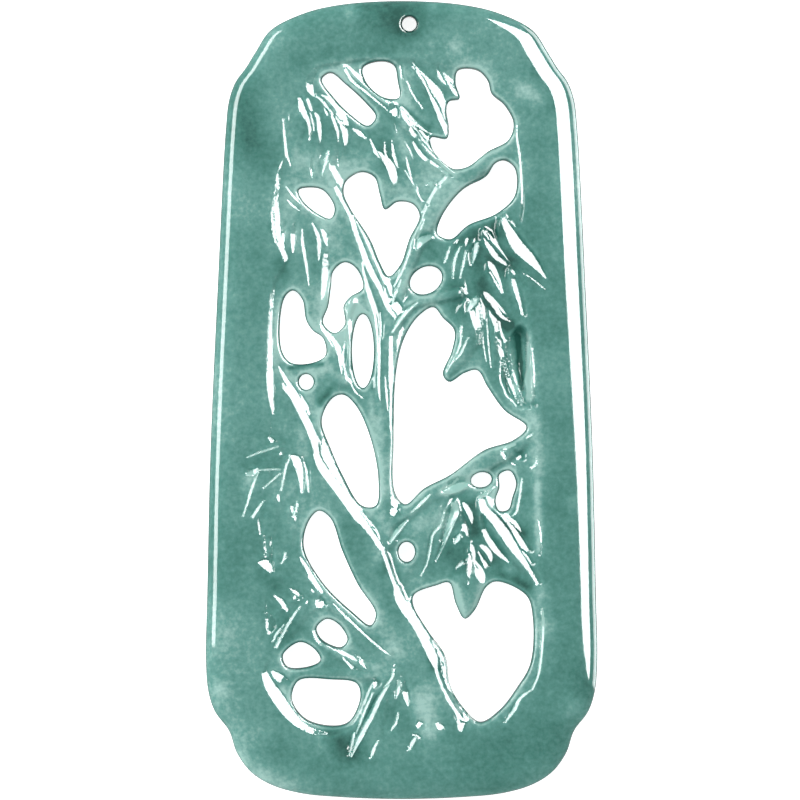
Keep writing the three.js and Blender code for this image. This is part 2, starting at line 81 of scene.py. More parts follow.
# Sections of the stems: height of the crest and of the sides, how square the shoulders are, and how
# far a node stands out; then a node's share of the length and of the width, the slope beside a stem,
# how softly it joins what is around it and how far beside it that is worked out
STEM_FORM = {"crest": THICK - 0.12, "side": GROUND - 0.15, "square": 2.6}
TRUNK_FORM = {"crest": THICK, "side": GROUND - 0.15, "square": 6.0, "swell": 0.15}
NODE_LENGTH = 0.03
NODE_FLARE = 0.1
FOOT_SLOPE = 3
STEM_BLEND = 0.12
STEM_MARGIN = 0.4

# Sections of the blades: height of the crest, drop to the sides, power of the curve between them and
# how softly a blade joins what is around it; then the drop to the tip, and the line along the midrib,
# which is left out where half of the width is under 0.4 of its fade
BORDER_BLADE = {"crest": THICK - 0.02, "drop": 0.15, "power": 3.5, "soft": 0.1}
FIELD_BLADE = {"crest": THICK - 0.22, "drop": 0.2, "power": 3.0, "soft": 0.15}
SLIM_BLADE = {"crest": THICK - 0.42, "drop": 0.2, "power": 3.0, "soft": 0.15}
SLIM_WIDTH = 1.0
TIP_DROP = 0.2
MIDRIB_DEPTH = 0.04
MIDRIB_WIDTH = 0.06
MIDRIB_FADE = 0.3
BLADE_MARGIN = 0.5

# How far polishing softens the carving before the strokes are cut
POLISH = 0.08

# Slopes of a stroke's facet where it falls to the right or to the left, and of the flanks around it.
# A stroke that leans to the right by more than the lean given here falls to the left. Its upper edge
# follows the ground, levelled out over a few stations on either side
RIGHT_FALL = 0.36
LEFT_FALL = 0.71
LEAN = -0.12
FLANK = 1.0
FLANK_REACH = 0.35
THINNEST_HALF = 0.01
LEVEL_REACH = 8

# Edges on a stroke that turn by more than this many degrees stay sharp
CREASE_ANGLE = 16

# Rounding of the openings' edges
RIM_RADIUS = 0.22
RIM_DROP = 0.35
RIM_POWER = 2.2
LIP_LOWEST = 1.1
BACK_RIM = 0.22

# The stone's lightness at the middle of the face, and its change for each millimetre to the right and
# towards the cord hole
MIDDLE_TONE = 0.54
TONE_RIGHT = -0.006
TONE_UP = 0.001

# Painted light and shade, as lighter or darker colour: a painted highlight on the facets of cuts that face
# away from the softbox, a painted glow near the rim of an opening where light comes through the stone, a
# painted highlight on the line where the face meets that rim and how wide that line is, and how dark and how
# wide the painted shade along the edges of the openings and of the outline is
CUT_PAINTED_HIGHLIGHT = 0.45
RIM_PAINTED_GLOW = 0.1
RIM_PAINTED_HIGHLIGHT = 0.3
RIM_PAINTED_HIGHLIGHT_WIDTH = 0.1
EDGE_PAINTED_SHADE = 0.75
EDGE_PAINTED_SHADE_WIDTH = 0.07

# Painted light and shade: how much lighter the colour is painted for each millimetre that the stone stands
# out over what is around it, and darker for each millimetre that it lies below, the most that this changes,
# and how far around it is compared
CAVITY_SHADE = 1.2
MOST_SHADE = 0.16
CAVITY_REACH = 0.3

# Colours of the stone by its tone, and its patches: scale, detail, roughness and share in the tone
STONE_COLOURS = [
    (0.0, (0.018, 0.115, 0.090, 1)), (0.3, (0.058, 0.230, 0.190, 1)), (0.5, (0.098, 0.305, 0.262, 1)),
    (0.7, (0.155, 0.390, 0.345, 1)), (1.0, (0.40, 0.66, 0.60, 1)),
]
# The colour of the painted shade along the edges of the openings and of the outline
PAINTED_SHADE_COLOUR = (0.012, 0.05, 0.045, 1)
CLOUDS = (170, 5, 0.6, 1.0)
GRAIN = (2400, 3, 0.6, 0.6)

# The floor lies this far below the flat back, so that the two don't shade each other; half of its
# width is in metres
FLOOR_GAP = 0.03
FLOOR_HALF = 1.2

# The camera's height in metres and its place across the plaque in millimetres, and what it sees:
# pixels across, and the size of one on the face
CAMERA_HEIGHT = 1.5
CAMERA_X = -0.12
PICTURE_PIXELS = 800
PIXEL = 0.0776

# Spacing of the mesh's points
CELL = 0.05
FINE = 0.116
COARSE = 0.42
ROW_SPACING = 0.12
ROW_GAP = 0.07
BACK_SPACING = 0.6
LOOP_SPACING = 0.17
HOLE_SPACING = 0.12
OUTLINE_SPACING = 0.3
FIELD_SPACING = 0.35
RIM_STEPS = [0.025, 0.06, 0.11, 0.17, 0.24, 0.33]
EDGE_STEPS = [0.04, 0.12, 0.24, 0.4, 0.58, 0.78, 1.0, 1.22, 1.44, 1.64, 1.82, 2.1]
CURVE_STEPS = 24
STROKE_STEPS = 12

# Corners of the grids of points, and of the raster of heights around them
GRID_LOW, GRID_HIGH = (-15.4, -31.2), (15.4, 31.2)
RASTER_HALF_WIDTH = 16.0
RASTER_HALF_HEIGHT = 32.0

# Distances that the mesh's points keep from one another and from rings that they don't belong to
CROWDED = 0.055
FINE_GAP = 0.6 * FINE
COARSE_GAP = 0.5 * COARSE
BACK_GAP = 0.4 * BACK_SPACING
BACK_RIM_GAP = 0.2
EDGE_RING_GAP = 0.08
RIM_RING_SLACK = 0.012
COARSE_RIM_GAP = 0.15

# How far from a stroke's facet a point still counts as part of the stroke, or as on the facet
STROKE_REACH = 1.1 * ROW_GAP
FACET_REACH = 0.3 * ROW_GAP

# How far away openings are looked for when points are placed, and when the stone is shaded
OPENING_REACH = 1.0
SHADE_REACH = 6.0

# How far a height may be from the plain face and still count as uncarved
PLAIN_LIMIT = 0.004

# Right half of the outline from the top middle to the bottom middle, with a small step at each corner
HALF_OUTLINE = [
    (0, HEIGHT / 2), (4.8, 30.7), (7.7, 30.0), (10.2, 28.7), (11.3, 27.1), (12.1, 25.8),
    (12.9, 24.7), (13.4, 23.3), (13.65, 21.1), (14.3, 8.5), (14.85, -4.0), (15.1, -15.0), (15.2, -20.4),
    (15.0, -22.7), (14.5, -24.2), (13.4, -25.7), (12.8, -27.4), (11.7, -28.9), (10.1, -29.9),
    (7.8, -30.55), (4.7, -30.85), (0, -HEIGHT / 2),
]

# Border of the sunken field, right of the trunk and below it on the left
FIELD = [
    (-6.9, 25.6), (-4.4, 26.3), (-0.1, 26.7), (3.8, 26.5), (6.4, 26.0), (8.0, 23.9), (9.0, 21.5),
    (9.4, 17.8), (10.0, 8.5), (10.4, 0.0), (10.8, -4.9), (10.9, -12.1), (11.1, -15.6), (11.0, -19.1),
    (10.5, -21.8), (9.2, -23.3), (8.2, -24.8), (6.1, -25.9), (4.4, -25.6), (1.9, -22.4), (-1.2, -15.4),
    (-4.5, -9.2), (-7.6, -3.9), (-9.2, -0.3), (-9.9, -1.0), (-10.4, 1.1), (-10.4, 5.4), (-10.0, 8.9),
    (-9.1, 10.9), (-9.8, 12.5), (-10.0, 14.9), (-9.5, 17.7), (-8.4, 20.2), (-5.9, 22.3), (-7.0, 23.9),
]
LOW_FIELD = [
    (-10.7, -21.0), (-9.5, -23.8), (-7.7, -25.6), (-5.4, -26.1), (-3.7, -25.2), (-2.3, -22.5),
    (-1.0, -20.5), (-4.0, -17.3), (-6.2, -16.0), (-7.9, -17.3), (-9.7, -19.3),
]

# Pierced openings, each a closed smooth curve through a few points
OPENINGS = [
    [
        (-6.2, 24.9), (-5.5, 25.4), (-4.3, 24.5), (-2.8, 23.1), (-2.0, 22.0), (-2.6, 21.3), (-3.9, 22.1),
        (-5.2, 23.4),
    ],
    [(-3.0, 25.8), (-1.7, 26.3), (-0.6, 26.0), (-0.3, 24.8), (-0.2, 23.5), (-1.4, 23.5), (-2.7, 24.6)],
    [
        (4.4, 25.6), (5.9, 25.6), (6.7, 24.8), (7.0, 23.8), (8.0, 22.9), (8.7, 21.5), (8.3, 20.2),
        (6.7, 19.3), (5.1, 18.1), (3.9, 18.0), (2.4, 19.5), (2.3, 20.4), (3.5, 20.3), (3.7, 21.1),
        (3.5, 22.5), (3.7, 23.2), (4.5, 23.4), (4.2, 24.6),
    ],
    [
        (8.0, 18.6), (8.8, 18.0), (8.8, 15.9), (7.4, 14.5), (5.2, 13.6), (3.8, 12.5), (2.8, 12.9),
        (3.1, 14.2), (4.7, 16.3), (6.6, 17.4), (7.3, 18.4),
    ],
    [
        (-4.3, 17.0), (-3.1, 17.7), (-2.1, 17.3), (-1.7, 16.0), (-1.3, 14.8), (-0.3, 15.4), (0.9, 15.2),
        (1.4, 14.3), (0.6, 12.5), (-0.1, 10.5), (-1.0, 9.6), (-1.7, 10.7), (-2.4, 12.4), (-4.0, 14.9),
        (-4.5, 16.1),
    ],
    [(-8.0, 16.3), (-7.4, 16.5), (-6.1, 16.3), (-5.2, 14.9), (-5.5, 14.1), (-6.4, 14.4), (-7.7, 15.5)],
    [
        (-9.0, 8.1), (-8.4, 8.5), (-7.7, 7.8), (-7.4, 6.2), (-6.9, 5.4), (-6.1, 4.8), (-5.9, 3.5),
        (-6.9, 2.9), (-8.6, 2.9), (-9.3, 3.8), (-9.4, 6.6),
    ],
    [
        (-5.3, 10.0), (-4.4, 10.7), (-3.5, 10.2), (-3.0, 8.7), (-4.0, 8.0), (-4.5, 7.3), (-4.4, 5.9),
        (-5.2, 5.2), (-6.1, 6.0), (-5.7, 7.3), (-5.5, 8.7),
    ],
    [
        (-4.5, 0.4), (-3.5, -0.5), (-2.4, -3.0), (-1.8, -6.2), (-2.0, -8.2), (-3.1, -8.2), (-4.6, -5.8),
        (-5.5, -3.8), (-6.2, -1.6), (-5.4, 0.1),
    ],
    [
        (2.5, 7.2), (3.2, 6.4), (4.1, 5.4), (3.9, 3.8), (3.2, 2.0), (3.7, 1.4), (4.9, 2.1), (5.9, 2.3),
        (6.7, 1.0), (8.0, -0.8), (9.7, -2.1), (8.7, -3.1), (6.4, -3.9), (3.8, -5.8), (1.7, -6.9), (0.3, -8.1),
        (-0.5, -7.2), (-0.6, -3.1), (-0.4, 2.3), (0.3, 5.0), (1.4, 6.6),
    ],
    [(7.6, -5.8), (8.4, -5.5), (8.9, -6.4), (8.6, -7.6), (8.3, -8.5), (7.6, -8.6), (7.3, -7.8), (7.6, -6.8)],
    [
        (-6.4, -8.6), (-5.5, -9.2), (-4.6, -11.7), (-3.4, -14.3), (-2.0, -16.6), (-2.4, -17.5), (-3.8, -16.5),
        (-6.2, -14.1), (-7.6, -11.4), (-7.2, -9.4),
    ],
    [(-5.8, -17.0), (-4.9, -17.4), (-4.2, -18.6), (-4.7, -19.2), (-6.2, -18.6), (-6.6, -17.7)],
    [(-7.9, -18.8), (-6.8, -19.3), (-6.3, -20.2), (-7.2, -20.7), (-8.9, -20.7), (-9.2, -19.8)],
    [
        (-8.0, -21.8), (-5.5, -21.7), (-3.5, -22.0), (-3.2, -23.0), (-4.0, -24.9), (-5.1, -25.3),
        (-7.4, -24.8), (-8.5, -23.3),
    ],
    [
        (1.0, -15.1), (2.7, -14.4), (3.7, -14.2), (4.2, -15.8), (4.9, -17.0), (5.7, -16.3), (6.6, -14.5),
        (7.4, -14.1), (9.7, -15.2), (10.2, -17.0), (10.0, -20.5), (9.0, -22.3), (7.6, -24.1), (6.1, -25.0),
        (4.8, -23.9), (3.8, -22.2), (3.4, -19.9), (2.1, -18.0), (0.9, -15.9),
    ],
]

# Round and oval openings: centre x, centre y, half length, half width, turn in degrees
OVALS = [
    (1.9, 9.3, 1.32, 1.01, 30),
    (-3.0, 3.8, 0.85, 2.87, 0),
    (-7.4, 1.4, 0.58, 0.61, 0),
    (6.2, -6.2, 0.81, 0.58, 10),
    (0.4, -11.8, 0.64, 0.78, 0),
]

# Stems: stations of x, y and full width, from root to tip
TRUNK = [
    (-9.4, 0.9, 0.9), (-8.5, -1.6, 2.3), (-7.6, -3.9, 2.7), (-6.3, -6.4, 2.6), (-4.5, -9.2, 2.6),
    (-2.8, -11.8, 3.0), (-1.2, -15.4, 2.6), (0.6, -18.7, 2.9), (1.9, -22.4, 3.1), (3.0, -25.5, 3.8),
]
STEMS = {
    "centre": [(-1.2, -10.9, 1.8), (-1.2, -6.2, 1.7), (-1.1, -1.6, 1.9), (-0.9, 3.1, 1.8), (-0.7, 6.0, 1.8)],
    "left_arm": [
        (-0.7, 5.8, 1.5), (-1.6, 8.7, 1.5), (-2.7, 11.2, 1.6), (-3.9, 13.9, 1.6), (-5.1, 16.6, 1.4),
        (-6.0, 18.6, 0.9),
    ],
    "right_arm": [
        (-0.7, 5.8, 1.1), (0.0, 8.5, 0.9), (0.8, 11.2, 1.2), (2.2, 14.2, 1.5), (3.6, 16.3, 1.9),
        (5.9, 18.1, 1.6), (9.0, 19.7, 1.1),
    ],
    "side_arm": [(-0.7, 5.2, 0.9), (0.5, 7.3, 1.0), (2.2, 7.8, 0.9), (4.4, 8.3, 0.9)],
    "low_arm": [
        (-0.9, -10.0, 1.4), (0.8, -8.4, 1.5), (3.4, -6.7, 1.6), (6.1, -5.0, 1.7), (8.6, -3.7, 1.4),
        (10.2, -2.7, 0.9),
    ],
    "left_bridge": [
        (-6.8, -2.4, 0.9), (-6.0, -0.3, 1.7), (-5.1, 1.8, 1.6), (-5.2, 3.8, 1.1), (-6.4, 5.4, 0.8),
    ],
    "inner_arm": [
        (-1.6, -1.2, 0.6), (-1.9, 0.8, 0.6), (-1.9, 3.8, 0.5), (-2.2, 6.6, 0.7), (-2.8, 8.5, 0.6),
        (-3.2, 10.7, 0.5),
    ],
    "inner_left": [(-4.4, 1.4, 0.8), (-4.0, 3.8, 0.5), (-4.2, 6.2, 0.5), (-3.8, 7.6, 0.7)],
    "top_arm": [
        (-4.6, 25.9, 0.6), (-2.6, 24.0, 0.8), (-0.7, 22.6, 0.9), (0.8, 20.9, 0.9), (2.7, 18.7, 0.8),
        (4.2, 17.2, 0.9),
    ],
    "lower_arm": [
        (-8.2, -12.6, 1.0), (-6.6, -14.8, 1.4), (-4.8, -16.4, 1.5), (-2.8, -18.4, 1.7), (-0.9, -20.4, 1.8),
    ],
    "low_bridge": [
        (-9.4, -21.4, 1.1), (-7.2, -21.2, 1.0), (-5.0, -21.1, 1.0), (-3.0, -21.3, 1.2), (-1.4, -21.0, 1.4),
    ],
    "cross_arm": [(-6.4, -18.8, 0.5), (-5.2, -19.6, 0.8), (-3.4, -20.5, 0.9), (-1.5, -20.8, 0.9)],
}
TRUNK_NODES = [0.24, 0.52, 0.76]

# Leaf blades, with the values that a Blade has: full width, and sideways bow of the midrib
SPRAYS = {
    "crown": [
        (-0.1, 26.3, 3.5, 20.3, 2.1, 0.3), (1.2, 26.5, 4.5, 23.4, 1.2, 0.2),
        (2.8, 26.3, 4.5, 23.6, 0.7, -0.2),
    ],
    "upper_mid": [
        (-3.4, 21.1, -1.6, 18.4, 0.9, 0.2), (-1.7, 21.3, -0.7, 18.0, 0.8, -0.2),
        (-0.7, 21.8, -0.1, 16.9, 0.9, -0.1), (-0.3, 20.5, 1.1, 16.6, 1.0, 0.2),
        (0.8, 20.3, 4.2, 17.2, 0.9, -0.3), (-2.4, 19.4, -1.2, 14.6, 1.9, 0.5),
        (0.0, 18.0, 2.2, 14.9, 1.0, -0.3),
    ],
    "left": [
        (-8.5, 14.6, -9.1, 11.0, 0.8, -0.3), (-8.1, 14.4, -8.2, 11.1, 1.0, -0.1),
        (-7.6, 14.1, -7.0, 8.8, 1.2, -0.3), (-6.9, 14.2, -6.2, 10.7, 0.9, 0.4),
        (-6.5, 13.9, -5.5, 11.6, 0.6, 0.3), (-7.1, 13.0, -6.6, 5.5, 1.9, 0.2),
        (-9.1, 16.7, -7.6, 15.0, 0.5, -0.2), (-9.2, 15.8, -7.9, 14.6, 0.5, -0.2),
    ],
    "right_fan": [
        (4.2, 12.4, 3.5, 10.7, 0.6, -0.2), (5.0, 12.5, 3.9, 9.1, 0.9, -0.2),
        (5.6, 12.5, 4.7, 8.8, 0.9, -0.2), (6.2, 12.5, 5.3, 10.2, 0.9, -0.2),
        (6.2, 13.3, 8.7, 10.2, 1.2, -0.3), (6.6, 10.7, 7.9, 8.1, 0.9, -0.2),
        (8.3, 10.2, 9.5, 6.4, 1.1, 0.2), (8.8, 10.7, 11.3, 8.5, 0.8, -0.2),
    ],
    "right_drop": [
        (5.0, 7.7, 3.2, 1.4, 2.1, 0.6), (5.9, 7.9, 6.0, 4.0, 0.9, 0.0), (6.6, 7.1, 7.1, 2.3, 0.9, 0.2),
        (6.2, 8.3, 8.6, 6.0, 0.8, -0.2), (7.0, 6.3, 8.1, 4.2, 0.7, -0.2),
    ],
    "lower_right": [
        (3.0, -8.1, -0.4, -14.9, 2.6, -0.5), (3.6, -7.2, 1.7, -14.0, 2.0, -0.8),
        (4.2, -7.8, 2.5, -12.7, 1.1, -0.2), (4.2, -7.8, 3.1, -11.4, 0.8, -0.2),
        (4.6, -8.0, 5.3, -10.8, 0.7, 0.2), (4.7, -10.0, 4.1, -11.4, 0.5, -0.1),
        (5.3, -11.3, 5.2, -14.6, 0.8, 0.0), (5.2, -12.5, 4.9, -17.0, 2.1, 0.0),
        (5.9, -11.3, 6.9, -13.2, 0.7, 0.2), (6.1, -7.3, 8.6, -12.8, 1.3, -0.3),
        (6.9, -8.3, 10.7, -14.3, 1.5, -0.2), (8.0, -9.2, 10.0, -12.0, 0.8, 0.2),
    ],
}

# Blades that lie over the plain border, each in a shallow bed of its own
BORDER_SPRAYS = {
    "upper_left": [
        (-7.4, 23.4, -8.6, 17.8, 1.7, -0.3), (-7.9, 23.6, -7.0, 20.0, 0.9, 0.3),
        (-6.8, 22.3, -6.8, 17.0, 1.5, -0.1), (-5.9, 22.3, -6.2, 17.0, 1.3, 0.6),
        (-5.5, 22.5, -4.7, 18.6, 0.9, 0.3), (-6.5, 23.6, -4.2, 21.2, 0.7, 0.2),
        (-8.8, 22.3, -8.5, 18.0, 0.6, -0.3),
    ],
    "right_edge": [(7.6, 14.1, 11.3, 9.3, 1.7, -0.2)],
    "lower_left": [
        (-8.8, -3.5, -11.9, -4.7, 1.0, -0.3), (-9.4, -4.1, -12.4, -9.1, 1.6, -0.6),
        (-10.2, -5.5, -11.8, -9.3, 1.1, -0.3), (-8.5, -4.1, -9.3, -7.2, 0.9, -0.3),
        (-8.2, -4.1, -7.6, -7.3, 1.0, 0.2), (-7.7, -4.5, -7.0, -7.3, 0.6, 0.2),
        (-7.6, -6.1, -8.3, -9.4, 1.0, 0.3), (-9.7, -7.3, -10.5, -12.9, 1.3, -0.2),
        (-8.7, -8.2, -9.2, -12.9, 1.2, 0.2),
    ],
    "low_left": [
        (-6.9, -13.9, -11.0, -13.2, 0.8, 0.2), (-6.8, -15.1, -9.5, -13.9, 0.8, -0.2),
        (-7.9, -15.6, -10.0, -14.9, 0.6, 0.2), (-8.4, -15.2, -8.8, -16.8, 0.7, -0.2),
        (-7.4, -15.6, -10.0, -19.4, 1.1, 0.2), (-9.2, -16.0, -10.4, -18.4, 0.7, -0.2),
    ],
    "root": [
        (-0.6, -20.5, -4.2, -27.8, 1.2, 0.0), (-0.1, -20.8, -1.4, -26.0, 1.2, -0.2),
        (0.0, -21.5, 0.6, -23.9, 0.9, 0.2), (-1.2, -23.2, -2.6, -28.1, 1.3, -0.2),
        (1.5, -25.5, 0.7, -27.2, 0.6, -0.1),
    ],
}

